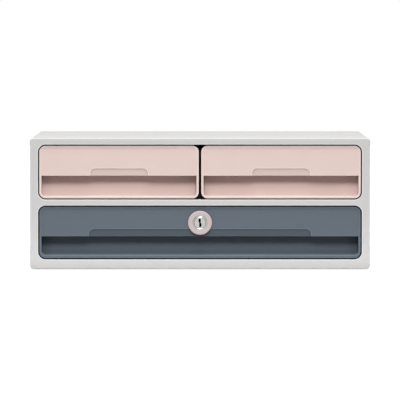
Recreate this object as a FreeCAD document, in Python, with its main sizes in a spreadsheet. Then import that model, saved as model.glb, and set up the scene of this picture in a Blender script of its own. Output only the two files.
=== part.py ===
import FreeCAD, Part
import math
import os
import re

import Sketcher
from FreeCAD import Placement, Rotation, Vector

# Desktop file drawer: a moulded case, two small drawers above one wide drawer, and a cam
# lock in the wide drawer's front.
#
# Frame: +Z is up and the fronts face -Y. The origin lies under the middle of the case, at
# the soles of its feet.

# Driving dimensions, in millimetres.
SIZES = {
    # The case from outside
    "case_width": 352.0,
    "case_depth": 262.0,
    "case_height": 135.4,
    "case_wall": 2.8,
    "top_corner_radius": 3.0,
    "bottom_corner_radius": 4.0,
    # The front frame and its two windows
    "side_band": 8.35,
    "top_band": 6.6,
    "middle_band": 6.15,
    "bottom_band": 9.8,
    "lower_window_height": 55.9,
    "window_radius": 7.7,
    "frame_face": 2.6,
    "frame_depth": 11.4,
    "rim_depth": 8.0,
    "rim_wall": 1.5,
    "sleeve_wall": 1.8,
    "strike_width": 44.0,
    "tongue_length": 5.0,
    "edge_round": 0.8,
    # The base tray
    "base_thickness": 3.0,
    "seam_height": 7.0,
    "runner_width": 2.4,
    "runner_spacing": 100.0,
    "stiffener_height": 3.0,
    # The middle shelf, its ledges and the centre divider
    "shelf_thickness": 2.4,
    "ledge_width": 4.0,
    "ledge_thickness": 2.5,
    "shelf_rib_height": 2.0,
    "shelf_rib_width": 1.8,
    "shelf_rib_spacing": 45.0,
    "shelf_rib_setback": 72.0,
    "divider_thickness": 1.6,
    "divider_setback": 16.0,
    "groove_depth": 1.0,
    "divider_guide_height": 1.6,
    "divider_guide_width": 1.2,
    # The back panel
    "back_thickness": 2.4,
    "back_inset": 2.4,
    "swage_depth": 0.8,
    "swage_margin": 22.0,
    # Snap hooks that hold the base and the back panel in the cover
    "hook_width": 12.0,
    "hook_thickness": 1.6,
    "hook_barb": 0.9,
    "base_hook_height": 12.0,
    "base_hook_spacing": 96.0,
    "back_hook_length": 10.0,
    "back_hook_low": 30.0,
    "back_hook_high": 106.0,
    "seat_rib": 2.0,
    # The rubber feet
    "foot_radius": 5.0,
    "foot_height": 1.5,
    "foot_recess": 1.4,
    "foot_inset_side": 34.0,
    "foot_inset_front": 30.0,
    # What all drawers share
    "front_gap": 1.15,
    "fronts_apart": 2.6,
    "front_inset": 1.6,
    "front_depth": 18.5,
    "front_radius": 6.5,
    "front_wall": 2.4,
    "front_edge_round": 0.9,
    "rim_width": 2.2,
    "panel_sink": 0.4,
    "bottom_lip": 3.4,
    "recess_depth": 14.0,
    "recess_lean": 1.8,
    "recess_cove": 1.2,
    "clip_width": 12.0,
    "clip_thickness": 1.8,
    "clip_barb": 1.0,
    "clip_inset": 24.0,
    "drawer_travel": 190.0,
    # The upper drawers' fronts
    "small_panel_height": 31.15,
    "small_scoop_width": 59.6,
    "small_scoop_height": 7.6,
    # The wide drawer's front
    "wide_panel_height": 30.95,
    "wide_scoop_width": 229.6,
    "wide_scoop_height": 7.6,
    "wide_clip_offset": 66.0,
    # The scoops' shape
    "scoop_radius": 5.0,
    "scoop_step": 1.0,
    "scoop_depth": 2.1,
    # Drawer trays
    "tray_wall": 1.8,
    "tray_floor": 2.0,
    "tray_radius": 4.0,
    "tray_rear_bevel": 2.0,
    "tray_drop": 3.0,
    "tray_side_gap": 0.6,
    "tray_flange": 1.4,
    "tray_flange_thickness": 1.6,
    "tray_rear_gap": 3.0,
    "running_gap": 0.4,
    "stop_length": 9.0,
    "stop_rise": 1.6,
    # The cam lock
    "lock_drop": 16.8,
    "ring_radius": 12.5,
    "ring_height": 1.9,
    "ring_round": 0.9,
    "nose_radius": 7.3,
    "barrel_radius": 8.0,
    "flange_radius": 11.0,
    "flange_thickness": 0.8,
    "plug_radius": 5.9,
    "nut_flats": 19.0,
    "nut_thickness": 3.0,
    "keyway_width": 2.4,
    "keyway_height": 9.0,
    "keyway_jog": 0.7,
    "keyway_depth": 7.0,
    "cam_length": 21.0,
    "cam_width": 11.0,
    "cam_thickness": 1.8,
    "tail_width": 6.0,
    "cam_screw_radius": 2.0,
    "cam_screw_length": 7.0,
    "cam_screw_head_radius": 3.8,
    "cam_screw_head_height": 1.8,
    # Clearances
    "fit_gap": 0.1,
    "hole_gap": 0.05,
    "latch_gap": 0.8,
}

# Levels and places worked out from the driving dimensions.
LEVELS = {
    "half_width": "case_width / 2",
    "inner_half": "half_width - case_wall",
    "window_half": "half_width - side_band",
    "ceiling": "case_height - case_wall",
    "lower_top": "bottom_band + lower_window_height",
    "shelf_top": "lower_top + middle_band",
    "upper_top": "case_height - top_band",
    "back_front": "case_depth - back_inset - back_thickness",
    # Drawer fronts and trays, each from the front's own lower edge
    "small_width": "window_half - front_gap - fronts_apart / 2",
    "small_height": "upper_top - shelf_top - 2 * front_gap",
    "small_centre": "(fronts_apart + small_width) / 2",
    "wide_width": "2 * (window_half - front_gap)",
    "wide_height": "lower_window_height - 2 * front_gap",
    "panel_back": "panel_sink + front_wall",
    "tray_bottom": "running_gap - front_gap",
    "tray_end": "back_front - front_inset - tray_rear_gap - tray_flange",
    "tray_edge_radius": "window_radius - front_gap - tray_side_gap - tray_flange",
    "stop_face": "frame_depth + drawer_travel + front_gap / 4 - front_inset",
    # The lock, from the wide front's face
    "ring_face": "panel_sink - ring_height",
    "cam_front": "frame_depth - front_inset + latch_gap",
    "barrel_end": "cam_front - 2 * fit_gap",
    "lock_height": "wide_height - lock_drop",
}

NAMES = re.compile(r"[a-z]+(?:_[a-z]+)+|ceiling")

doc = FreeCAD.newDocument("DesktopFileDrawer")
sizes = doc.addObject("Spreadsheet::Sheet", "Sizes")
levels = doc.addObject("Spreadsheet::Sheet", "Levels")


def formula(text):
    """Return an expression in which each size or level is named with its sheet."""

    def with_sheet(match):
        name = match.group()
        if name in SIZES:
            return "Sizes." + name
        if name in LEVELS:
            return "Levels." + name
        raise KeyError(name)

    return NAMES.sub(with_sheet, str(text))


def value_of(text):
    """Return the present value of an expression."""
    return float(sizes.evalExpression(formula(text)))


def fill_sheets():
    """Write the sizes as plain numbers and the levels as formulas of them."""
    for row, (name, number) in enumerate(SIZES.items(), start=1):
        sizes.set(f"A{row}", name)
        sizes.set(f"B{row}", str(number))
        sizes.setAlias(f"B{row}", name)
    doc.recompute()
    for row, (name, text) in enumerate(LEVELS.items(), start=1):
        levels.set(f"A{row}", name)
        levels.set(f"B{row}", "=" + formula(text).replace("Levels.", ""))
        levels.setAlias(f"B{row}", name)
        doc.recompute()


# Sketches

# For each plane: its role and the sign of its normal along the axis it is square to.
PLANES = {
    "XY": ("XY_Plane", 1),
    "XZ": ("XZ_Plane", -1),
    "YZ": ("YZ_Plane", 1),
}


def new_body(label):
    """Add an empty PartDesign body."""
    body = doc.addObject("PartDesign::Body", label)
    body.Label = label
    return body


def new_sketch(body, plane, start, tilt=None):
    """Add a sketch square to a plane's axis, at a place along it, tilted about its own x if asked."""
    role, sign = PLANES[plane]
    sketch = body.newObject("Sketcher::SketchObject", body.Label + "_sketch")
    origin_plane = next(part for part in body.Origin.OriginFeatures if part.Role == role)
    sketch.AttachmentSupport = [(origin_plane, "")]
    sketch.MapMode = "FlatFace"
    if tilt is not None:
        sketch.AttachmentOffset = Placement(Vector(0, 0, 0), Rotation(Vector(1, 0, 0), value_of(tilt)))
        sketch.setExpression("AttachmentOffset.Rotation.Angle", formula(tilt))
    along = formula(start) if sign > 0 else f"-({formula(start)})"
    sketch.setExpression("AttachmentOffset.Base.z", along)
    return sketch


def constrain(sketch, kind, *references, value):
    """Add a dimension to a sketch and bind it to an expression."""
    index = sketch.addConstraint(Sketcher.Constraint(kind, *references, value_of(value)))
    sketch.setExpression(f"Constraints[{index}]", formula(value))


def draw_outline(sketch, edges, radii=None):
    """Draw a closed outline of level and upright edges, with rounded corners.

    edges: (axis, place) in order round the outline, where an "x" edge is upright at that x
    and a "y" edge is level at that y. radii: one for each corner, from the corner between the
    first and second edges on; None leaves it sharp.
    """
    count = len(edges)
    radii = radii or [None] * count
    places = [value_of(place) for _, place in edges]
    corners = []
    for index in range(count):
        following = (index + 1) % count
        if edges[index][0] == "x":
            corners.append(Vector(places[index], places[following], 0))
        else:
            corners.append(Vector(places[following], places[index], 0))
    cuts = [0.0 if radius is None else value_of(radius) for radius in radii]
    first = sketch.GeometryCount
    for index in range(count):
        begin = corners[index - 1]
        end = corners[index]
        heading = (end - begin).normalize()
        begin = begin + heading * cuts[index - 1]
        end = end - heading * cuts[index]
        sketch.addGeometry(Part.LineSegment(begin, end), False)
    for index, (axis, place) in enumerate(edges):
        line = first + index
        upright = axis == "x"
        sketch.addConstraint(Sketcher.Constraint("Vertical" if upright else "Horizontal", line))
        constrain(sketch, "DistanceX" if upright else "DistanceY", -1, 1, line, 1, value=place)
    for index, radius in enumerate(radii):
        join_edges(sketch, first + index, first + (index + 1) % count, corners, index, radius)


def join_edges(sketch, line, next_line, corners, index, radius):
    """Join two edges of an outline at a corner, sharp or rounded."""
    if radius is None:
        sketch.addConstraint(Sketcher.Constraint("Coincident", line, 2, next_line, 1))
        return
    size = value_of(radius)
    corner = corners[index]
    before = (corner - corners[index - 1]).normalize()
    after = (corners[(index + 1) % len(corners)] - corner).normalize()
    centre = corner - before * size + after * size
    leaving = corner - before * size - centre
    turns_left = before.x * after.y - before.y * after.x > 0
    start = math.atan2(leaving.y, leaving.x)
    if not turns_left:
        start -= math.pi / 2
    circle = Part.Circle(centre, Vector(0, 0, 1), size)
    arc = sketch.addGeometry(Part.ArcOfCircle(circle, start, start + math.pi / 2), False)
    first_end, last_end = (1, 2) if turns_left else (2, 1)
    sketch.addConstraint(Sketcher.Constraint("Tangent", line, 2, arc, first_end))
    sketch.addConstraint(Sketcher.Constraint("Tangent", arc, last_end, next_line, 1))
    constrain(sketch, "Radius", arc, value=radius)


def draw_rectangle(sketch, left, right, low, high, radii=None):
    """Draw a rectangle; radii run from the lower right corner anticlockwise."""
    draw_outline(sketch, [("y", low), ("x", right), ("y", high), ("x", left)], radii)


def draw_polygon(sketch, points):
    """Draw a closed polygon through points given as pairs of expressions."""
    corners = [Vector(value_of(across), value_of(up), 0) for across, up in points]
    count = len(points)
    first = sketch.GeometryCount
    for index in range(count):
        sketch.addGeometry(Part.LineSegment(corners[index], corners[(index + 1) % count]), False)
    for index, (across, up) in enumerate(points):
        line = first + index
        sketch.addConstraint(Sketcher.Constraint("Coincident", line, 2, first + (index + 1) % count, 1))
        constrain(sketch, "DistanceX", -1, 1, line, 1, value=across)
        constrain(sketch, "DistanceY", -1, 1, line, 1, value=up)


def draw_circle(sketch, across, up, radius):
    """Draw a circle whose centre and radius are expressions."""
    centre = Vector(value_of(across), value_of(up), 0)
    circle = sketch.addGeometry(Part.Circle(centre, Vector(0, 0, 1), value_of(radius)), False)
    constrain(sketch, "DistanceX", -1, 1, circle, 3, value=across)
    constrain(sketch, "DistanceY", -1, 1, circle, 3, value=up)
    constrain(sketch, "Radius", circle, value=radius)


# Features

def pad(sketch, length):
    """Pad a sketch towards +X, +Y or +Z."""
    body = sketch.getParentGeoFeatureGroup()
    feature = body.newObject("PartDesign::Pad", body.Label + "_pad")
    feature.Profile = sketch
    feature.Reversed = "XZ_Plane" in sketch.AttachmentSupport[0][0].Role
    feature.setExpression("Length", formula(length))
    doc.recompute()
    return feature


def pocket(sketch, length, outwards=False):
    """Pocket a sketch towards +X, +Y or +Z, or the other way."""
    body = sketch.getParentGeoFeatureGroup()
    before = body.Shape.Volume
    feature = body.newObject("PartDesign::Pocket", body.Label + "_pocket")
    feature.Profile = sketch
    feature.Reversed = ("XZ_Plane" in sketch.AttachmentSupport[0][0].Role) == outwards
    feature.setExpression("Length", formula(length))
    doc.recompute()
    if body.Shape.Volume >= before:
        raise ValueError(f"a pocket of {body.Label} removes nothing")
    return feature


def revolve(sketch, axis):
    """Turn a sketch's profile about one of the body's own axes."""
    body = sketch.getParentGeoFeatureGroup()
    feature = body.newObject("PartDesign::Revolution", body.Label + "_revolution")
    feature.Profile = sketch
    line = next(part for part in body.Origin.OriginFeatures if part.Role == axis)
    feature.ReferenceAxis = (line, [""])
    feature.Angle = 360
    doc.recompute()
    return feature


def add_block(body, plane, start, length, *rectangle, radii=None):
    """Add a block: left, right, low and high in the plane, from start through length."""
    sketch = new_sketch(body, plane, start)
    draw_rectangle(sketch, *rectangle, radii=radii)
    return pad(sketch, length)


def cut_block(body, plane, start, length, *rectangle, radii=None):
    """Cut a block: left, right, low and high in the plane, from start through length."""
    sketch = new_sketch(body, plane, start)
    draw_rectangle(sketch, *rectangle, radii=radii)
    return pocket(sketch, length)


def cut_holes(body, plane, start, length, places, radius):
    """Cut a round hole at each place in the plane."""
    sketch = new_sketch(body, plane, start)
    for across, up in places:
        draw_circle(sketch, across, up, radius)
    return pocket(sketch, length)


def dress_edges(body, kind, size, chosen):
    """Fillet or chamfer the edges that a test chooses."""
    tip = body.Tip
    names = [f"Edge{number}" for number, edge in enumerate(tip.Shape.Edges, start=1) if chosen(edge)]
    if not names:
        raise ValueError(f"no edges to dress on {body.Label}")
    feature = body.newObject("PartDesign::" + kind, body.Label + "_" + kind.lower())
    feature.Base = (tip, names)
    property_name = "Radius" if kind == "Fillet" else "Size"
    feature.setExpression(property_name, formula(size))
    doc.recompute()
    return feature


def lies_at(edge, axis, place):
    """Tell whether an edge lies in the plane at that place along an axis."""
    box = edge.BoundBox
    low = getattr(box, axis.upper() + "Min")
    high = getattr(box, axis.upper() + "Max")
    level = value_of(place)
    return abs(low - level) < 0.001 and abs(high - level) < 0.001


def mirrored(across):
    """Return an expression and its mirror image."""
    return [across, f"-({across})"]


def place_body(thing, across="0", along="0", up="0"):
    """Bind where a sub-part stands."""
    thing.setExpression("Placement.Base.x", formula(across))
    thing.setExpression("Placement.Base.y", formula(along))
    thing.setExpression("Placement.Base.z", formula(up))


def place_in_case(thing):
    """Place a piece drawn from the case's front plane and its underside."""
    place_body(thing, along="-case_depth / 2", up="foot_height")


# The case

def make_front_frame():
    """Moulded frame: an outer rim, a sleeve round each window and the strike for the lock."""
    body = new_body("front_frame")
    add_block(
        body, "XZ", "0", "rim_depth", "-half_width", "half_width", "0", "case_height",
        radii=["bottom_corner_radius", "top_corner_radius", "top_corner_radius", "bottom_corner_radius"],
    )
    dress_edges(body, "Chamfer", "edge_round", lambda edge: lies_at(edge, "y", "0"))
    sleeves = ["-window_half - sleeve_wall", "window_half + sleeve_wall",
               "bottom_band - sleeve_wall", "upper_top + sleeve_wall"]
    outer_radius = "window_radius + sleeve_wall"
    channel = new_sketch(body, "XZ", "frame_face")
    draw_rectangle(
        channel, "-half_width + rim_wall", "half_width - rim_wall", "rim_wall", "case_height - rim_wall",
        radii=["bottom_corner_radius - rim_wall", "top_corner_radius - rim_wall",
               "top_corner_radius - rim_wall", "bottom_corner_radius - rim_wall"],
    )
    draw_rectangle(channel, *sleeves, radii=[outer_radius] * 4)
    pocket(channel, "rim_depth - frame_face")
    add_block(
        body, "XZ", "frame_face", "frame_depth - frame_face", *sleeves, radii=[outer_radius] * 4,
    )
    windows = [("bottom_band", "lower_top"), ("shelf_top", "upper_top")]
    for low, high in windows:
        cut_block(
            body, "XZ", "0", "frame_depth", "-window_half", "window_half", low, high,
            radii=["window_radius"] * 4,
        )
    # The middle bar is hollow from behind, except at the strike that the cam catches.
    for side in (-1, 1):
        ends = sorted([f"{side} * strike_width / 2", f"{side} * (window_half - window_radius)"], key=value_of)
        cut_block(
            body, "XZ", "frame_face", "frame_depth - frame_face", *ends,
            "lower_top + sleeve_wall", "shelf_top - sleeve_wall",
        )
    dress_edges(
        body, "Chamfer", "edge_round / 2",
        lambda edge: lies_at(edge, "y", "0") and inside_rim(edge),
    )
    place_in_case(body)


def inside_rim(edge):
    """Tell whether an edge belongs to a window, and not to the outer rim."""
    centre = edge.BoundBox.Center
    margin = value_of("rim_wall")
    across = abs(centre.x) < value_of("half_width") - margin
    return across and margin < centre.z < value_of("case_height") - margin


def draw_cover_profile(sketch, outer, inner, foot, outer_top, inner_top, outer_radius):
    """Draw the inverted U of the cover: half widths, the legs' lower end and the two tops."""
    edges = [
        ("y", foot), ("x", outer), ("y", outer_top), ("x", f"-({outer})"),
        ("y", foot), ("x", f"-({inner})"), ("y", inner_top), ("x", inner),
    ]
    inner_radius = "top_corner_radius / 3"
    radii = [None, outer_radius, outer_radius, None, None, inner_radius, inner_radius, None]
    draw_outline(sketch, edges, radii)


def make_top_cover():
    """Cover moulded with both sides, shelf ledges, divider guides and seat ribs."""
    body = new_body("top_cover")
    profile = new_sketch(body, "XZ", "rim_depth")
    draw_cover_profile(
        profile, "half_width", "inner_half", "seam_height", "case_height", "ceiling", "top_corner_radius",
    )
    pad(profile, "case_depth - rim_depth")
    tongue = new_sketch(body, "XZ", "rim_depth - tongue_length")
    draw_cover_profile(
        tongue, "half_width - rim_wall - fit_gap", "inner_half", "seam_height",
        "case_height - rim_wall - fit_gap", "ceiling", "top_corner_radius - rim_wall - fit_gap",
    )
    pad(tongue, "tongue_length")
    for side in (-1, 1):
        ledge = sorted([f"{side} * inner_half", f"{side} * (inner_half - ledge_width)"], key=value_of)
        add_block(
            body, "XZ", "frame_depth", "back_front - frame_depth", *ledge,
            "shelf_top - shelf_thickness - ledge_thickness", "shelf_top - shelf_thickness",
        )
        seat = sorted([f"{side} * inner_half", f"{side} * (inner_half - seat_rib)"], key=value_of)
        add_block(
            body, "XZ", "back_front - seat_rib", "seat_rib", *seat, "shelf_top", "ceiling",
        )
        add_block(
            body, "XZ", "back_front - seat_rib", "seat_rib", *seat, "seam_height",
            "shelf_top - shelf_thickness - ledge_thickness",
        )
        guide = sorted([f"{side} * (divider_thickness / 2 + fit_gap)",
                        f"{side} * (divider_thickness / 2 + fit_gap + divider_guide_width)"], key=value_of)
        add_block(
            body, "XZ", "divider_setback", "back_front - fit_gap - divider_setback", *guide,
            "ceiling - divider_guide_height", "ceiling",
        )
    cut_catches(body)
    dress_edges(body, "Chamfer", "edge_round", is_rear_rim)
    place_in_case(body)


def is_rear_rim(edge):
    """Tell whether an edge lies on the cover's outer rim at the back."""
    centre = edge.BoundBox.Center
    inside = abs(centre.x) < value_of("half_width - case_wall / 2") and centre.z < value_of("ceiling")
    return lies_at(edge, "y", "case_depth") and not inside and centre.z > value_of("seam_height")


def cut_catches(body):
    """Cut the slots in the cover's sides that the barbs of the base and the back panel catch."""
    depth = "hook_barb + fit_gap"
    for side in (-1, 1):
        slot = sorted([f"{side} * inner_half", f"{side} * (inner_half + {depth})"], key=value_of)
        for along in base_hook_rows():
            cut_block(
                body, "XY", "seam_height + base_hook_height / 3", "base_hook_height * 2 / 3", *slot,
                f"{along} - hook_width / 2 - fit_gap", f"{along} + hook_width / 2 + fit_gap",
            )
        for height in ("back_hook_low", "back_hook_high"):
            cut_block(
                body, "XZ", "back_front - back_hook_length - fit_gap", "back_hook_length * 2 / 3", *slot,
                f"{height} - hook_width / 2 - fit_gap", f"{height} + hook_width / 2 + fit_gap",
            )


def base_hook_rows():
    """Return how far back each pair of the base's hooks stands."""
    return [f"case_depth / 2 + ({row}) * base_hook_spacing" for row in (-1, 0, 1)]


def make_base_tray():
    """Base with low sides, runners for the wide drawer, stiffeners and foot recesses."""
    body = new_body("base_tray")
    profile = new_sketch(body, "XZ", "rim_depth")
    edges = [
        ("y", "0"), ("x", "half_width"), ("y", "seam_height"), ("x", "inner_half"),
        ("y", "base_thickness"), ("x", "-inner_half"), ("y", "seam_height"), ("x", "-half_width"),
    ]
    outer = "bottom_corner_radius"
    draw_outline(profile, edges, [outer, None, None, None, None, None, None, outer])
    pad(profile, "case_depth - rim_depth")
    run = "back_front - fit_gap - frame_depth"
    for place in ("-3", "-1", "1", "3"):
        middle = f"{place} * runner_spacing / 2"
        add_block(
            body, "XZ", "frame_depth", run, f"{middle} - runner_width / 2", f"{middle} + runner_width / 2",
            "base_thickness", "bottom_band",
        )
    for along in base_hook_rows():
        add_block(
            body, "XY", "base_thickness", "stiffener_height",
            "-3 * runner_spacing / 2", "3 * runner_spacing / 2",
            f"{along} - runner_width / 2", f"{along} + runner_width / 2",
        )
        for side in (-1, 1):
            add_base_hook(body, side, along)
    cut_holes(body, "XY", "0", "foot_recess", foot_places(), "foot_radius + fit_gap")
    place_in_case(body)


def add_base_hook(body, side, along):
    """Add an upright hook whose barb catches a slot in the cover's side."""
    hook = new_sketch(body, "XZ", f"{along} - hook_width / 2")
    root = f"{side} * (inner_half - fit_gap - hook_thickness)"
    face = f"{side} * (inner_half - fit_gap)"
    tip = f"{side} * (inner_half + hook_barb - fit_gap)"
    low = "seam_height + base_hook_height / 3 + fit_gap"
    draw_polygon(hook, [
        (root, "base_thickness"), (f"{side} * inner_half", "base_thickness"),
        (f"{side} * inner_half", "seam_height"), (face, "seam_height"), (face, low), (tip, low),
        (face, "seam_height + base_hook_height - fit_gap"),
        (root, "seam_height + base_hook_height - fit_gap"),
    ])
    pad(hook, "hook_width")


def foot_places():
    """Return the feet's centres, across and along."""
    rows = ["foot_inset_front", "case_depth - foot_inset_front"]
    return [(across, along) for along in rows for across in mirrored("half_width - foot_inset_side")]


def make_back_panel():
    """Back panel with a pressed field and hooks that snap into the cover's sides."""
    body = new_body("back_panel")
    add_block(
        body, "XZ", "back_front", "back_thickness",
        "-inner_half + fit_gap", "inner_half - fit_gap", "base_thickness", "ceiling - fit_gap",
        radii=[None, "top_corner_radius / 2", "top_corner_radius / 2", None],
    )
    cut_block(
        body, "XZ", "back_front + back_thickness - swage_depth", "swage_depth",
        "-inner_half + swage_margin", "inner_half - swage_margin",
        "base_thickness + swage_margin", "ceiling - swage_margin",
        radii=["window_radius"] * 4,
    )
    for side in (-1, 1):
        for height in ("back_hook_low", "back_hook_high"):
            add_back_hook(body, side, height)
    place_in_case(body)


def add_back_hook(body, side, height):
    """Add a hook that reaches forward from the back panel, past the cover's seat rib."""
    hook = new_sketch(body, "XY", f"{height} - hook_width / 2")
    root = f"{side} * (inner_half - seat_rib - fit_gap - hook_thickness)"
    face = f"{side} * (inner_half - seat_rib - fit_gap)"
    tip = f"{side} * (inner_half + hook_barb - fit_gap)"
    front = "back_front - back_hook_length"
    shoulder = f"{front} + back_hook_length * 2 / 3 - 2 * fit_gap"
    draw_polygon(hook, [
        (root, "back_front"), (face, "back_front"), (face, shoulder), (tip, shoulder),
        (face, front), (root, front),
    ])
    pad(hook, "hook_width")


def make_middle_shelf():
    """Shelf that carries the upper drawers, with a groove for the divider and ribs below."""
    body = new_body("middle_shelf")
    add_block(
        body, "XY", "shelf_top - shelf_thickness", "shelf_thickness",
        "-inner_half + fit_gap", "inner_half - fit_gap", "frame_depth", "back_front - fit_gap",
    )
    for place in ("-3", "-2", "-1", "0", "1", "2", "3"):
        middle = f"{place} * shelf_rib_spacing"
        add_block(
            body, "XY", "shelf_top - shelf_thickness - shelf_rib_height", "shelf_rib_height",
            f"{middle} - shelf_rib_width / 2", f"{middle} + shelf_rib_width / 2",
            "shelf_rib_setback", "back_front - fit_gap",
        )
    cut_block(
        body, "XY", "shelf_top - groove_depth", "groove_depth",
        "-divider_thickness / 2 - fit_gap", "divider_thickness / 2 + fit_gap",
        "divider_setback - fit_gap", "back_front - fit_gap",
    )
    place_in_case(body)


def make_centre_divider():
    """Thin upright plate between the upper drawers."""
    body = new_body("centre_divider")
    add_block(
        body, "XZ", "divider_setback", "back_front - 2 * fit_gap - divider_setback",
        "-divider_thickness / 2", "divider_thickness / 2", "shelf_top - groove_depth", "ceiling",
    )
    dress_edges(
        body, "Chamfer", "divider_thickness / 4",
        lambda edge: lies_at(edge, "y", "divider_setback") and edge.BoundBox.ZLength > 10,
    )
    place_in_case(body)


def make_feet():
    """Four rubber feet, each seated in its recess in the base."""
    names = ["foot_front_right", "foot_front_left", "foot_rear_right", "foot_rear_left"]
    for name, (across, along) in zip(names, foot_places()):
        body = new_body(name)
        sole = new_sketch(body, "XY", "0")
        draw_circle(sole, "0", "0", "foot_radius")
        pad(sole, "foot_height + foot_recess")
        place_body(body, across, f"{along} - case_depth / 2")


# The drawers

class Drawer:
    """The sizes of one drawer, as expressions, in its own frame.

    The frame's origin is at the middle of the front's lower edge, on its face.
    """

    def __init__(self, name, width, height, panel_height, scoop, centre, sill, clips):
        self.name = name
        self.width = width
        self.height = height
        self.half = f"({width}) / 2"
        self.lip = f"({height} - {panel_height})"
        self.scoop_width, self.scoop_height = scoop
        self.centre = centre
        self.sill = sill
        self.clips = clips

    def place(self, thing):
        """Place a piece drawn in the drawer's frame."""
        along = "front_inset - case_depth / 2"
        place_body(thing, self.centre, along, f"foot_height + {self.sill} + front_gap")

    def clip_places(self):
        """Return the middle of each clip, across."""
        return [across for offset in self.clips for across in mirrored(offset)]

    def clip_level(self):
        """Return the height of the clips' underside."""
        return f"(({self.lip} + {self.height} - clip_thickness) / 2)"

    def tray_half(self):
        """Return half the width of the tray, without its flange."""
        return f"({self.half} - tray_side_gap - tray_flange)"


def make_drawer_front(drawer):
    """Hollow moulded front: a sunk panel with a scoop in its lip, over a finger recess."""
    body = new_body(drawer.name + "_drawer_front")
    half = drawer.half
    corner = "front_radius"
    add_block(
        body, "XZ", "0", "front_depth", f"-{half}", half, "0", drawer.height, radii=[corner] * 4,
    )
    dress_edges(body, "Chamfer", "front_edge_round", lambda edge: lies_at(edge, "y", "0"))
    inner = f"{half} - rim_width"
    inner_corner = f"{corner} - rim_width"
    cut_block(
        body, "XZ", "0", "panel_sink", f"-({inner})", inner, "bottom_lip", f"{drawer.height} - rim_width",
        radii=[inner_corner] * 4,
    )
    cut_block(
        body, "XZ", "0", "recess_depth", f"-({inner})", inner, "bottom_lip", drawer.lip,
        radii=[inner_corner, None, None, inner_corner],
    )
    # The recess wall leans forward towards the floor and ends in a cove.
    wall = new_sketch(body, "YZ", f"-({half} - rim_width / 2)")
    foot = "recess_depth - recess_lean"
    draw_polygon(wall, [
        ("recess_depth + fit_gap", "bottom_lip - fit_gap"), ("recess_depth + fit_gap", drawer.lip),
        ("recess_depth", drawer.lip), (foot, "bottom_lip + recess_cove"),
        (f"{foot} - recess_cove * 0.3", "bottom_lip + recess_cove * 0.3"),
        (f"{foot} - recess_cove", "bottom_lip"), (f"{foot} - recess_cove", "bottom_lip - fit_gap"),
    ])
    pad(wall, f"2 * {half} - rim_width")
    hollow = f"{half} - front_wall"
    hollow_corner = f"{corner} - front_wall"
    cut_block(
        body, "XZ", "panel_back", "front_depth - panel_back", f"-({hollow})", hollow,
        f"{drawer.lip} + front_wall", f"{drawer.height} - front_wall",
        radii=[None, hollow_corner, hollow_corner, None],
    )
    cut_block(
        body, "XZ", "recess_depth + front_wall", "front_depth - recess_depth - front_wall",
        f"-({hollow})", hollow, "bottom_lip", drawer.lip,
        radii=["scoop_radius / 2", None, None, "scoop_radius / 2"],
    )
    cut_scoop(body, drawer)
    for across in drawer.clip_places():
        add_clip(body, across, drawer.clip_level())
    drawer.place(body)
    return body


def add_clip(body, across, level):
    """Add a springy arm that reaches through the tray's front wall and hooks behind it."""
    arm = new_sketch(body, "YZ", f"{across} - clip_width / 2")
    top = f"{level} + clip_thickness"
    shoulder = "front_depth + tray_wall + fit_gap"
    draw_polygon(arm, [
        ("panel_back", level), (f"{shoulder} + 2 * clip_barb", level), (f"{shoulder} + 2 * clip_barb", top),
        (shoulder, f"{top} + clip_barb"), (shoulder, top), ("panel_back", top),
    ])
    pad(arm, "clip_width")


def cut_scoop(body, drawer):
    """Cut the shallow scoop whose floor slopes inwards down to the panel's lip."""
    tilt = f"atan((scoop_depth - scoop_step) / ({drawer.scoop_height}))"
    sketch = new_sketch(body, "XZ", "scoop_depth", tilt)
    sketch.setExpression("AttachmentOffset.Base.y", formula(drawer.lip))
    half = f"{drawer.scoop_width} / 2"
    draw_rectangle(
        sketch, f"-{half}", half, "-front_edge_round", drawer.scoop_height,
        radii=[None, "scoop_radius", "scoop_radius", None],
    )
    pocket(sketch, "2 * scoop_depth", outwards=True)


def is_tray_corner(edge):
    """True for the upright edges at the tray's rear."""
    box = edge.BoundBox
    return lies_at(edge, "y", "tray_end") and box.XLength < 0.001 < box.ZLength


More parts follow.
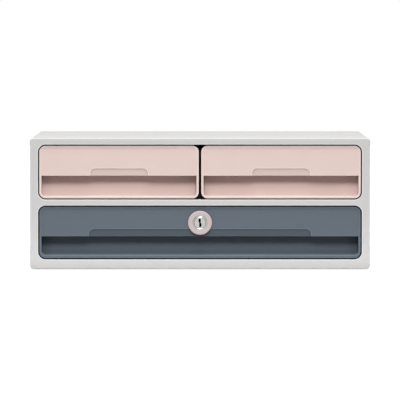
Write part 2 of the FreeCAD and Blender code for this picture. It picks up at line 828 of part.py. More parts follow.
def make_drawer_tray(drawer):
    """Open tray with a flange round its sides and back, and a stop on each side."""
    body = new_body(drawer.name + "_drawer_tray")
    half = drawer.tray_half()
    top = f"({drawer.height} - tray_drop)"
    tall = f"{top} - tray_bottom"
    add_block(
        body, "XZ", "front_depth", "tray_end - front_depth", f"-{half}", half, "tray_bottom", top,
        radii=["tray_edge_radius", None, None, "tray_edge_radius"],
    )
    dress_edges(body, "Chamfer", "tray_rear_bevel", is_tray_corner)
    flange_radii = [None, "tray_radius + tray_flange", "tray_radius + tray_flange", None]
    add_block(
        body, "XY", f"{top} - tray_flange_thickness", "tray_flange_thickness",
        f"-({half} + tray_flange)", f"{half} + tray_flange", "front_depth", "tray_end + tray_flange",
        radii=flange_radii,
    )
    cut_block(
        body, "XY", "tray_bottom + tray_floor", f"{tall} - tray_floor",
        f"-({half} - tray_wall)", f"{half} - tray_wall", "front_depth + tray_wall", "tray_end - tray_wall",
        radii=["tray_radius - tray_wall"] * 4,
    )
    floor = "tray_bottom + tray_floor"
    dress_edges(body, "Chamfer", "tray_wall", lambda edge: lies_at(edge, "z", floor))
    for side in (-1, 1):
        stop = sorted([f"{side} * ({half} - tray_wall)", f"{side} * ({half} + tray_flange)"], key=value_of)
        ramp = new_sketch(body, "YZ", stop[0])
        crest = f"{drawer.height} + front_gap + stop_rise"
        draw_polygon(ramp, [
            ("stop_face", top), ("stop_face + stop_length", top),
            ("stop_face + stop_length / 3", crest), ("stop_face", crest),
        ])
        pad(ramp, "tray_wall + tray_flange")
    for across in drawer.clip_places():
        cut_block(
            body, "XZ", "front_depth", "tray_wall",
            f"{across} - clip_width / 2 - fit_gap", f"{across} + clip_width / 2 + fit_gap",
            f"{drawer.clip_level()} - fit_gap", f"{drawer.clip_level()} + clip_thickness + fit_gap",
        )
    drawer.place(body)


# The cam lock, drawn about its own axis: y = 0 is the wide front's face

def place_lock(thing):
    """Place a lock piece on the wide drawer's front."""
    place_body(
        thing, along="front_inset - case_depth / 2",
        up="foot_height + bottom_band + front_gap + lock_height",
    )


def turned(name, profile):
    """Make a body by turning a profile of (radius, place along y) about the lock's axis."""
    body = new_body(name)
    sketch = new_sketch(body, "XY", "0")
    draw_polygon(sketch, profile)
    revolve(sketch, "Y_Axis")
    return body


def make_escutcheon():
    """Rounded cover ring that hides the barrel's flange."""
    seat = "panel_sink - flange_thickness - fit_gap"
    bore = "nose_radius + fit_gap"
    body = turned("lock_escutcheon", [
        (bore, "ring_face"), ("ring_radius - ring_round", "ring_face"),
        ("ring_radius", "ring_face + ring_round"), ("ring_radius", "panel_sink"),
        ("flange_radius + fit_gap", "panel_sink"), ("flange_radius + fit_gap", seat), (bore, seat),
    ])
    place_lock(body)


def make_barrel():
    """Barrel with a nose, a flange on the panel and a body through it."""
    face = "ring_face + fit_gap"
    seat = "panel_sink - flange_thickness"
    bore = "plug_radius + hole_gap"
    body = turned("lock_barrel", [
        (bore, face), ("nose_radius", face), ("nose_radius", seat), ("flange_radius", seat),
        ("flange_radius", "panel_sink"), ("barrel_radius", "panel_sink"),
        ("barrel_radius", "barrel_end"), (bore, "barrel_end"),
    ])
    place_lock(body)


def make_nut():
    """Hexagon nut that clamps the barrel to the panel from behind."""
    body = new_body("lock_nut")
    sketch = new_sketch(body, "XZ", "panel_back")
    points = []
    for corner in range(6):
        across = f"nut_flats / sqrt(3) * cos({60 * corner})"
        up = f"nut_flats / sqrt(3) * sin({60 * corner})"
        points.append((across, up))
    draw_polygon(sketch, points)
    pad(sketch, "nut_thickness")
    cut_holes(body, "XZ", "panel_back", "nut_thickness", [("0", "0")], "barrel_radius + hole_gap")
    place_lock(body)


def make_plug():
    """Plug that the key turns, with a jogged keyway and a square tail for the cam."""
    face = "ring_face + 2 * fit_gap"
    body = turned("lock_plug", [
        ("0", face), ("plug_radius", face), ("plug_radius", "cam_front"), ("0", "cam_front"),
    ])
    tail = "tail_width / 2"
    add_block(body, "XZ", "cam_front", "cam_thickness", f"-{tail}", tail, f"-{tail}", tail)
    keyway = new_sketch(body, "XZ", face)
    slot = "keyway_width / 2"
    reach = "keyway_height / 2"
    draw_outline(keyway, [
        ("y", f"-{reach}"), ("x", f"{slot} - keyway_jog / 2"), ("y", "-keyway_width / 2"),
        ("x", f"{slot} + keyway_jog / 2"), ("y", reach), ("x", f"-{slot} + keyway_jog / 2"),
        ("y", "keyway_width / 2"), ("x", f"-{slot} - keyway_jog / 2"),
    ])
    pocket(keyway, "keyway_depth")
    cut_holes(
        body, "XZ", "cam_front + cam_thickness - cam_screw_length", "cam_screw_length", [("0", "0")],
        "cam_screw_radius + hole_gap",
    )
    place_lock(body)


def make_cam():
    """Cam on the plug's tail, pointing sideways while the drawer is unlocked."""
    body = new_body("lock_cam")
    half = "cam_width / 2"
    add_block(
        body, "XZ", "cam_front", "cam_thickness", "-cam_length", half, f"-{half}", half,
        radii=[f"{half} - fit_gap", f"{half} - fit_gap", "cam_width / 5", "cam_width / 5"],
    )
    hole = "tail_width / 2 + hole_gap"
    cut_block(body, "XZ", "cam_front", "cam_thickness", f"-({hole})", hole, f"-({hole})", hole)
    place_lock(body)


def make_cam_screw():
    """Screw that holds the cam on the plug's tail."""
    seat = "cam_front + cam_thickness"
    tip = f"{seat} - cam_screw_length + fit_gap"
    body = turned("lock_cam_screw", [
        ("0", tip), ("cam_screw_radius", tip), ("cam_screw_radius", seat), ("cam_screw_head_radius", seat),
        ("cam_screw_head_radius", f"{seat} + cam_screw_head_height"),
        ("0", f"{seat} + cam_screw_head_height"),
    ])
    place_lock(body)


def fit_lock(front):
    """Cut the barrel's hole in the wide front and the notch that the cam swings through."""
    cut_holes(front, "XZ", "0", "panel_back", [("0", "lock_height")], "barrel_radius + fit_gap")
    margin = "latch_gap / 2"
    cut_block(
        front, "XZ", f"cam_front - {margin}", f"front_depth - cam_front + {margin}",
        "-cam_length", "cam_width / 2 + latch_gap", "wide_height - 1.5 * front_wall", "wide_height",
    )


def make_lock():
    """Make the lock's pieces."""
    make_escutcheon()
    make_barrel()
    make_nut()
    make_plug()
    make_cam()
    make_cam_screw()


# Check and export

NODES = [
    "front_frame", "top_cover", "base_tray", "back_panel", "middle_shelf", "centre_divider",
    "foot_front_right", "foot_front_left", "foot_rear_right", "foot_rear_left",
    "left_drawer_front", "left_drawer_tray",
    "right_drawer_front", "right_drawer_tray",
    "wide_drawer_front", "wide_drawer_tray",
    "lock_escutcheon", "lock_barrel", "lock_nut", "lock_plug", "lock_cam", "lock_cam_screw",
]


def export_nodes():
    """Check every object, then write each sub-part to its own file."""
    doc.recompute()
    for thing in doc.Objects:
        if {"Invalid", "Error"} & set(thing.State):
            raise ValueError(f"{thing.Label} failed: {thing.State}")
    shapes = {}
    for label in NODES:
        thing = doc.getObjectsByLabel(label)[0]
        if thing.Shape.isNull() or not thing.Shape.isValid():
            raise ValueError(f"{label} has no valid shape")
        shapes[label] = thing.Shape
    os.makedirs("parts", exist_ok=True)
    for label, shape in shapes.items():
        shape.exportStep(f"parts/{label}.step")
        box = shape.BoundBox
        extent = f"{box.XLength:.1f} x {box.YLength:.1f} x {box.ZLength:.1f} mm"
        print(f"{label}: {len(shape.Solids)} solid(s), {extent}")


def main():
    """Build the whole drawer unit."""
    fill_sheets()
    make_front_frame()
    make_top_cover()
    make_base_tray()
    make_back_panel()
    make_middle_shelf()
    make_centre_divider()
    make_feet()
    small_scoop = ("small_scoop_width", "small_scoop_height")
    for name, side in (("left", "-"), ("right", "")):
        small = Drawer(
            name, "small_width", "small_height", "small_panel_height", small_scoop,
            f"{side}small_centre", "shelf_top", ["small_width / 2 - clip_inset"],
        )
        make_drawer_front(small)
        make_drawer_tray(small)
    wide = Drawer(
        "wide", "wide_width", "wide_height", "wide_panel_height", ("wide_scoop_width", "wide_scoop_height"),
        "0", "bottom_band", ["wide_width / 2 - clip_inset", "wide_clip_offset"],
    )
    fit_lock(make_drawer_front(wide))
    make_drawer_tray(wide)
    make_lock()
    export_nodes()


main()
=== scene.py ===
"""Dresses a desktop file drawer unit: a pale moulded case, two small pink drawers and a wide slate one.

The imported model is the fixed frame. The case's frame, the drawer fronts, the feet and the cam lock are
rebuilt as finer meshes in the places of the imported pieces, and the other pieces get soft edges. Every
piece gets a moulded, plated or rubber finish made from shader nodes. All lengths are in metres.
"""

import logging
import math
from dataclasses import dataclass
from enum import Enum
from functools import cached_property
from typing import Callable, Sequence

import bmesh
import bpy
from mathutils import Matrix, Vector


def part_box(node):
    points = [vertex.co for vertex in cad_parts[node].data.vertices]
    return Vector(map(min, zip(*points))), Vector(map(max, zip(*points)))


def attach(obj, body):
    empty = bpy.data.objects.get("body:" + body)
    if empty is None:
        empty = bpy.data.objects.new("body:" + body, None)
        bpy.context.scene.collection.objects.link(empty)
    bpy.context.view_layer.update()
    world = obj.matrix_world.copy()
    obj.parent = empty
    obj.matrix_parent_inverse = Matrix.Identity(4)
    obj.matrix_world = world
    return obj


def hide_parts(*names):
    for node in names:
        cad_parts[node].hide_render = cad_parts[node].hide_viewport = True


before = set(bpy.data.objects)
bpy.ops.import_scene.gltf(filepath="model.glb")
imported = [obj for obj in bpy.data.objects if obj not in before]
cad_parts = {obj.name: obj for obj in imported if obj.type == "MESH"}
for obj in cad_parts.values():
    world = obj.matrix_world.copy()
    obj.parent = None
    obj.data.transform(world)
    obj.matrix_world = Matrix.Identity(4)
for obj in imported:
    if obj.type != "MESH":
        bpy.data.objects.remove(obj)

MM = 0.001
BEYOND = 1.0 * MM  # How far a cutter reaches past the faces that it cuts
SAME_PLACE = 0.001 * MM  # Points nearer than this are one point
SHARP = math.radians(24)  # Edges that turn more than this get rounded
PACKED_SHARP = math.radians(30)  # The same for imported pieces
FLAT = math.radians(0.4)  # Faces that turn less than this are one face
WHITE = (1.0, 1.0, 1.0)

Point = tuple[float, float]
Place = tuple[float, float, float]
Colour = tuple[float, float, float]
Outline = list[Point]
Piece = bpy.types.Object
Socket = bpy.types.NodeSocket
Value = Socket | float | Sequence[float]
EdgeWidth = Callable[[Vector, Vector], float]

LOG = logging.getLogger("drawer_unit")


# Outlines and solids

class Axis(Enum):
    """The direction in which an outline is drawn out to a solid, or about which a profile is turned."""

    ACROSS = "x"
    INWARDS = "y"
    UP = "z"

    def place(self, point: Point, reach: float) -> Vector:
        """Put a point of an outline in the unit's frame.

        Args:
            point: The point in the outline's own plane.
            reach: How far along the axis it lies.

        Returns:
            The place in the unit's frame.
        """
        first, second = point
        if self is Axis.ACROSS:
            return Vector((reach, first, second))
        if self is Axis.INWARDS:
            return Vector((first, reach, second))
        return Vector((first, second, reach))


@dataclass(frozen=True)
class Corners:
    """Radii of a rectangle's four corners."""

    lower_right: float = 0.0
    upper_right: float = 0.0
    upper_left: float = 0.0
    lower_left: float = 0.0

    @classmethod
    def all(cls, radius: float) -> "Corners":
        """Return four equal corners."""
        return cls(radius, radius, radius, radius)

    @classmethod
    def low_and_high(cls, lower: float, upper: float) -> "Corners":
        """Return two equal lower corners and two equal upper ones."""
        return cls(lower, upper, upper, lower)


@dataclass(frozen=True)
class Box:
    """A rectangle in an outline's plane."""

    left: float
    right: float
    low: float
    high: float

    @classmethod
    def of(cls, node: str) -> "Box":
        """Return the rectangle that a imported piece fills, seen from the front."""
        low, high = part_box(node)
        return cls(low.x, high.x, low.z, high.z)

    @classmethod
    def about(cls, middle: Point, half_width: float, half_height: float) -> "Box":
        """Return a rectangle about its middle."""
        across, up = middle
        return cls(across - half_width, across + half_width, up - half_height, up + half_height)

    @property
    def middle(self) -> Point:
        """Return the rectangle's middle."""
        return (self.left + self.right) / 2, (self.low + self.high) / 2

    def inset(self, by: float) -> "Box":
        """Return the rectangle drawn in on all sides."""
        return Box(self.left + by, self.right - by, self.low + by, self.high - by)

    def margin(self, across: float, up: float) -> float:
        """Return how far a point lies inside the nearest side."""
        return min(across - self.left, self.right - across, up - self.low, self.high - up)

    def outline(self, corners: Corners = Corners()) -> Outline:
        """Return the rectangle's outline with its corners rounded.

        Args:
            corners: The radii, each 0 for a sharp corner.

        Returns:
            The points, anticlockwise from the lower right corner.
        """
        turns = (
            (self.right, self.low, -1, 1, corners.lower_right, -90),
            (self.right, self.high, -1, -1, corners.upper_right, 0),
            (self.left, self.high, 1, -1, corners.upper_left, 90),
            (self.left, self.low, 1, 1, corners.lower_left, 180),
        )
        points: Outline = []
        for across, up, side, rise, radius, start in turns:
            if radius <= 0:
                points.append((across, up))
            else:
                points += arc((across + side * radius, up + rise * radius), radius, start, start + 90)
        return points


def arc(centre: Point, radius: float, start: float, end: float, steps: int = 12) -> Outline:
    """Return points along an arc.

    Args:
        centre: The arc's centre.
        radius: The arc's radius.
        start: The first angle in degrees.
        end: The last angle in degrees.
        steps: How many chords the arc has.

    Returns:
        The points, both ends included.
    """
    points: Outline = []
    for step in range(steps + 1):
        angle = math.radians(start + (end - start) * step / steps)
        points.append((centre[0] + radius * math.cos(angle), centre[1] + radius * math.sin(angle)))
    return points


def circle(centre: Point, radius: float, sides: int) -> Outline:
    """Return points once round a circle."""
    turns = [2 * math.pi * side / sides for side in range(sides)]
    return [(centre[0] + radius * math.cos(turn), centre[1] + radius * math.sin(turn)) for turn in turns]


def as_object(name: str, mesh: bmesh.types.BMesh) -> Piece:
    """Turn a finished bmesh into an object of the scene.

    Args:
        name: The piece's name.
        mesh: The bmesh, which is freed.

    Returns:
        The new object.
    """
    bmesh.ops.recalc_face_normals(mesh, faces=mesh.faces)
    data = bpy.data.meshes.new(name)
    mesh.to_mesh(data)
    mesh.free()
    piece = bpy.data.objects.new(name, data)
    bpy.context.scene.collection.objects.link(piece)
    return piece


def drawn_out(name: str, outline: Outline, axis: Axis, start: float, end: float) -> Piece:
    """Draw an outline out to a solid.

    Args:
        name: The solid's name.
        outline: The points of its section.
        axis: The direction it is drawn out in.
        start: Where it begins along the axis.
        end: Where it ends along the axis.

    Returns:
        The solid.
    """
    mesh = bmesh.new()
    rows = [[mesh.verts.new(axis.place(point, reach)) for point in outline] for reach in (start, end)]
    mesh.faces.new(rows[0])
    mesh.faces.new(reversed(rows[1]))
    for index in range(len(outline)):
        after = (index + 1) % len(outline)
        mesh.faces.new((rows[0][after], rows[0][index], rows[1][index], rows[1][after]))
    return as_object(name, mesh)


def turned(name: str, profile: Outline, centre: Point, sides: int, axis: Axis = Axis.INWARDS) -> Piece:
    """Turn a profile about an axis.

    Args:
        name: The solid's name.
        profile: Pairs of radius and place along the axis: once round a ring's section, or from the
            axis out and back to it.
        centre: Where the axis is, in the plane that it crosses.
        sides: How many sides the turned faces have.
        axis: The axis' direction.

    Returns:
        The solid.
    """
    mesh = bmesh.new()
    rings: list[list[bmesh.types.BMVert]] = []
    for radius, along in profile:
        points = circle(centre, radius, sides) if radius > 0 else [centre]
        rings.append([mesh.verts.new(axis.place(point, along)) for point in points])
    closed = all(len(ring) > 1 for ring in rings)
    for index in range(len(rings) if closed else len(rings) - 1):
        bridge(mesh, rings[index], rings[(index + 1) % len(rings)])
    return as_object(name, mesh)


def bridge(mesh: bmesh.types.BMesh, first: Sequence, second: Sequence) -> None:
    """Join two rings, or a ring and a point, with faces.

    Args:
        mesh: The bmesh that holds both.
        first: The vertices of one ring.
        second: The vertices of the other.
    """
    count = max(len(first), len(second))
    for step in range(count):
        after = (step + 1) % count
        if len(first) == 1 and len(second) > 1:
            mesh.faces.new((first[0], second[after], second[step]))
        elif len(second) == 1 and len(first) > 1:
            mesh.faces.new((first[step], first[after], second[0]))
        elif len(first) > 1:
            mesh.faces.new((first[step], first[after], second[after], second[step]))


class Join(Enum):
    """How one solid works on another."""

    CUT = "DIFFERENCE"
    ADD = "UNION"
    KEEP = "INTERSECT"


def work(piece: Piece, tool: Piece, how: Join) -> Piece:
    """Cut, add or keep what two solids share, and drop the tool.

    Args:
        piece: The solid that is worked on.
        tool: The solid that works on it.
        how: What is done with it.

    Returns:
        The piece with its new mesh.
    """
    step = piece.modifiers.new(how.name.lower(), "BOOLEAN")
    step.operation = how.value
    step.solver = "EXACT"
    step.object = tool
    graph = bpy.context.evaluated_depsgraph_get()
    graph.update()
    made = bpy.data.meshes.new_from_object(piece.evaluated_get(graph))
    piece.modifiers.clear()
    old = piece.data
    piece.data = made
    bpy.data.meshes.remove(old)
    bpy.data.objects.remove(tool)
    return piece


def cut(piece: Piece, outline: Outline, start: float, end: float) -> None:
    """Cut a room with an outline seen from the front, from start inwards to end."""
    work(piece, drawn_out("room", outline, Axis.INWARDS, start, end), Join.CUT)


# Rounded edges

def divide(piece: Piece, cuts: Sequence[tuple[Axis, float]]) -> None:
    """Split a piece's faces where planes cross them, so that each face has a simple outline.

    Args:
        piece: The piece.
        cuts: Each plane's axis and place.
    """
    mesh = bmesh.new()
    mesh.from_mesh(piece.data)
    for axis, place in cuts:
        normal = axis.place((0.0, 0.0), 1.0)
        everything = mesh.verts[:] + mesh.edges[:] + mesh.faces[:]
        bmesh.ops.bisect_plane(
            mesh, geom=everything, dist=SAME_PLACE / 2, plane_co=normal * place, plane_no=normal
        )
    mesh.to_mesh(piece.data)
    mesh.free()


def soften(piece: Piece, width: float | EdgeWidth, segments: int) -> None:
    """Round a piece's sharp edges.

    Args:
        piece: The piece.
        width: The rounded edges' width, or what returns it from an edge's two ends.
        segments: How many faces run across a rounded edge.
    """
    mesh = bmesh.new()
    mesh.from_mesh(piece.data)
    bmesh.ops.remove_doubles(mesh, verts=mesh.verts, dist=SAME_PLACE)
    bmesh.ops.dissolve_degenerate(mesh, edges=mesh.edges, dist=SAME_PLACE)
    widths = {}
    for edge in mesh.edges:
        if len(edge.link_faces) == 2 and edge.calc_face_angle(0.0) > SHARP:
            ends = [end.co for end in edge.verts]
            widths[edge.index] = width(*ends) if callable(width) else width
    widest = max(widths.values())
    layers = mesh.edges.layers.float
    layer = layers.get("bevel_weight_edge") or layers.new("bevel_weight_edge")
    for edge in mesh.edges:
        edge[layer] = widths.get(edge.index, 0.0) / widest
    for face in mesh.faces:
        face.smooth = True
    mesh.to_mesh(piece.data)
    mesh.free()
    round_edges(piece, widest, segments, limit_method="WEIGHT", use_clamp_overlap=False)


def round_edges(piece: Piece, width: float, segments: int, **choices: str | float) -> None:
    """Add the modifiers that round edges and keep flat faces flat beside them.

    Args:
        piece: The piece.
        width: The widest rounding.
        segments: How many faces run across a rounded edge.
        **choices: The rounding's other options.
    """
    rounding = piece.modifiers.new("Rounded edges", "BEVEL")
    rounding.width = width
    rounding.segments = segments
    for name, choice in choices.items():
        setattr(rounding, name, choice)
    shading = piece.modifiers.new("Even shading", "WEIGHTED_NORMAL")
    shading.keep_sharp = True
    shading.weight = 100


def soften_packed(node: str, width: float) -> Piece:
    """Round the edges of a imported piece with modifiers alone.

    Args:
        node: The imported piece's name.
        width: The rounded edges' width.

    Returns:
        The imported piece.
    """
    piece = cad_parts[node]
    weld = piece.modifiers.new("Joined faces", "WELD")
    weld.merge_threshold = 2 * SAME_PLACE
    flat = piece.modifiers.new("Whole faces", "DECIMATE")
    flat.decimate_type = "DISSOLVE"
    flat.angle_limit = FLAT
    round_edges(piece, width, 2, limit_method="ANGLE", angle_limit=PACKED_SHARP, use_clamp_overlap=True)
    return piece


# Shader nodes

class Operation(Enum):
    """What is done with two values."""

    MULTIPLY = "MULTIPLY"
    SUBTRACT = "SUBTRACT"
    MAXIMUM = "MAXIMUM"
    ABSOLUTE = "ABSOLUTE"


class Nodes:
    """The shader nodes of a material or of the world, with a short method for each kind that is used."""

    wear_and_highlight_from = 0.97  # How open an outer edge is where rubbing and a painted highlight begin
    wear_and_highlight_full = 0.72  # How open it is where rubbing and the painted highlight are full
    open_samples = 8
    usual_noise = (0.3, 0.7)  # Where most of a noise's values lie
    ring_scale = 0.314  # The scale that puts the rings of a wave one unit apart
    hole_edge = 0.97  # The share of a hole's reach where its mask is full

    def __init__(self, owner: bpy.types.Material | bpy.types.World) -> None:
        """Find the owner's first shader and its output.

        Args:
            owner: The new material or world.
        """
        owner.use_nodes = True
        self.owner = owner
        self.tree = owner.node_tree
        kinds = {node.type: node for node in self.tree.nodes}
        self.shader = kinds.get("BSDF_PRINCIPLED") or kinds["BACKGROUND"]
        self.output = kinds.get("OUTPUT_MATERIAL") or kinds["OUTPUT_WORLD"]

    @cached_property
    def place(self) -> Socket:
        """Return the place that is shaded."""
        return self.add("TexCoord").outputs["Object"]

    def add(self, kind: str, values: dict[str | int, Value] | None = None,
            **choices: str | float) -> bpy.types.Node:
        """Add a node.

        Args:
            kind: Which shader node it is.
            values: What its inputs get, by name or number.
            **choices: The node's options.

        Returns:
            The node.
        """
        node = self.tree.nodes.new("ShaderNode" + kind)
        for name, choice in choices.items():
            setattr(node, name, choice)
        for name, value in (values or {}).items():
            self.put(node.inputs[name], value)
        return node

    def put(self, target: Socket, value: Value) -> None:
        """Give an input a value.

        Args:
            target: The input.
            value: Another node's output, a number, a vector or a colour.
        """
        if isinstance(value, Socket):
            self.tree.links.new(value, target)
        elif target.type == "RGBA":
            target.default_value = (*value, 1.0)
        else:
            target.default_value = value

    def feed(self, values: dict[str, Value]) -> None:
        """Give the first shader's inputs their values, by name."""
        for name, value in values.items():
            self.put(self.shader.inputs[name], value)

    def cover(self, share: Socket, second: bpy.types.Node) -> None:
        """Let a second shader show over the first, by its share from 0 to 1."""
        mix = self.add("MixShader", {0: share, 1: self.shader.outputs[0], 2: second.outputs[0]})
        self.put(self.output.inputs["Surface"], mix.outputs[0])

    def noise(self, scale: float, detail: float = 2.0, stretch: Place = (1.0, 1.0, 1.0)) -> Socket:
        """Add a noise.

        Args:
            scale: How many spots a metre holds.
            detail: How many finer layers it has.
            stretch: The scale along each axis.

        Returns:
            Its value.
        """
        where = self.add("Mapping", {"Vector": self.place, "Scale": stretch}).outputs["Vector"]
        return self.add("TexNoise", {"Vector": where, "Scale": scale, "Detail": detail}).outputs["Fac"]

    def patches(self, scale: float, detail: float, first: float, last: float) -> Socket:
        """Return a noise that varies between two values.

        Args:
            scale: How many spots a metre holds.
            detail: How many finer layers it has.
            first: The value at one end.
            last: The value at the other end.

        Returns:
            The varied value.
        """
        return self.spread(self.noise(scale, detail), *self.usual_noise, first, last)

    def rings(self, centre: Vector, spacing: float) -> Socket:
        """Add fine rings about an axis that runs inwards.

        Args:
            centre: A point on the axis.
            spacing: The distance between two rings.

        Returns:
            Their value.
        """
        where = self.add("Mapping", {"Vector": self.place, "Location": -centre}).outputs["Vector"]
        values = {"Vector": where, "Scale": self.ring_scale / spacing, "Distortion": 0.6, "Detail": 2.0}
        return self.add("TexWave", values, wave_type="RINGS", rings_direction="Y").outputs["Fac"]

    def edges(self, width: float) -> Socket:
        """Return a mask that is 1 along outer edges, for rubbing and a painted highlight.

        Args:
            width: How far the rubbing and painted highlight reach from an edge.

        Returns:
            The mask.
        """
        inward = self.add(
            "AmbientOcclusion", {"Distance": width}, inside=True, only_local=True, samples=self.open_samples
        )
        return self.spread(inward.outputs["AO"], self.wear_and_highlight_from, self.wear_and_highlight_full)

    def hollows(self, reach: float, shut: float, breadth: float) -> Socket:
        """Return a mask that is 1 in narrow gaps and deep hollows, where shade is painted.

        Args:
            reach: How far away a wall may be to count.
            shut: How open a place is, from 0 to 1, where the mask becomes 1.
            breadth: How much more open a place is where the mask ends.

        Returns:
            The mask.
        """
        outward = self.add("AmbientOcclusion", {"Distance": reach}, samples=self.open_samples)
        return self.spread(outward.outputs["AO"], shut + breadth, shut)

    def pit(self, mouth: Vector, radius: float, depth: float) -> Socket:
        """Return a mask that is 1 inside a hole that runs inwards, for painted shade, and fades at its mouth
        and its end.

        Args:
            mouth: The middle of the hole's mouth.
            radius: The hole's reach.
            depth: The hole's depth.

        Returns:
            The mask.
        """
        fade_from, fade_to = 0.15 * MM, 0.5 * MM
        end_fade = 0.1 * MM
        shift = self.add("VectorMath", {0: self.place, 1: mouth}, operation="SUBTRACT").outputs[0]
        inwards = self.add("SeparateXYZ", {0: shift}).outputs["Y"]
        flat = self.add("VectorMath", {0: shift, 1: (1.0, 0.0, 1.0)}, operation="MULTIPLY").outputs[0]
        away = self.add("VectorMath", {0: flat}, operation="LENGTH").outputs["Value"]
        near = self.spread(away, radius, radius * self.hole_edge)
        inside = self.spread(inwards, fade_from, fade_to)
        above_end = self.spread(inwards, depth + 2 * end_fade, depth + end_fade)
        depths = self.combine(Operation.MULTIPLY, inside, above_end)
        return self.combine(Operation.MULTIPLY, near, depths)

    def upward(self) -> Socket:
        """Return how far a face looks up: 1 for a level floor, 0 for a wall, -1 for a ceiling."""
        normal = self.add("NewGeometry").outputs["Normal"]
        return self.add("SeparateXYZ", {0: normal}).outputs["Z"]

    def toned(self, colour: Socket, tone: Socket) -> Socket:
        """Return a colour multiplied by a tone."""
        return self.add("VectorMath", {0: colour, "Scale": tone}, operation="SCALE").outputs[0]

    def combine(self, operation: Operation, first: Value, second: Value) -> Socket:
        """Combine two values."""
        return self.add("Math", {0: first, 1: second}, operation=operation.value).outputs[0]

    def spread(self, value: Socket, low: float, high: float, first: float = 0.0,
               last: float = 1.0) -> Socket:
        """Map a value from one range to another.

        Args:
            value: The value.
            low: The range's start.
            high: The range's end.
            first: What low becomes.
            last: What high becomes.

        Returns:
            The mapped value.
        """
        values = {"Value": value, "From Min": low, "From Max": high, "To Min": first, "To Max": last}
        return self.add("MapRange", values).outputs["Result"]

    def blend(self, share: Socket, first: Colour | Socket, second: Colour | Socket) -> Socket:
        """Mix two colours.

        Args:
            share: How much of the second shows.
            first: A colour or a socket.
            second: A colour or a socket.

        Returns:
            The mixed colour.
        """
        node = self.add("Mix", {"Factor": share}, data_type="RGBA")
        for name, colour in (("A", first), ("B", second)):
            self.put(next(item for item in node.inputs if (item.name, item.type) == (name, "RGBA")), colour)
        return next(item for item in node.outputs if item.type == "RGBA")

    def bump(self, height: Socket, depth: float, strength: float, under: Socket | None = None) -> Socket:
        """Raise the surface by a value.

        Args:
            height: The value.
            depth: How high its full value stands.
            strength: How strongly it shows.
            under: A coarser relief below it.

        Returns:
            The normal.
        """
        node = self.add("Bump", {"Height": height, "Distance": depth, "Strength": strength})
        if under is not None:
            self.put(node.inputs["Normal"], under)
        return node.outputs["Normal"]

    def seen_rays(self) -> Socket:
        """Return a value that is 1 for rays from the camera, a gloss or a clear piece.

        Returns:
            The value.
        """
        rays = self.add("LightPath").outputs
        seen = self.combine(Operation.MAXIMUM, rays["Is Camera Ray"], rays["Is Glossy Ray"])
        return self.combine(Operation.MAXIMUM, seen, rays["Is Transmission Ray"])


# Finishes

def shade(colour: Colour, by: float) -> Colour:
    """Return a colour made lighter or darker by a factor, at most white."""
    return tuple(min(1.0, part * by) for part in colour)


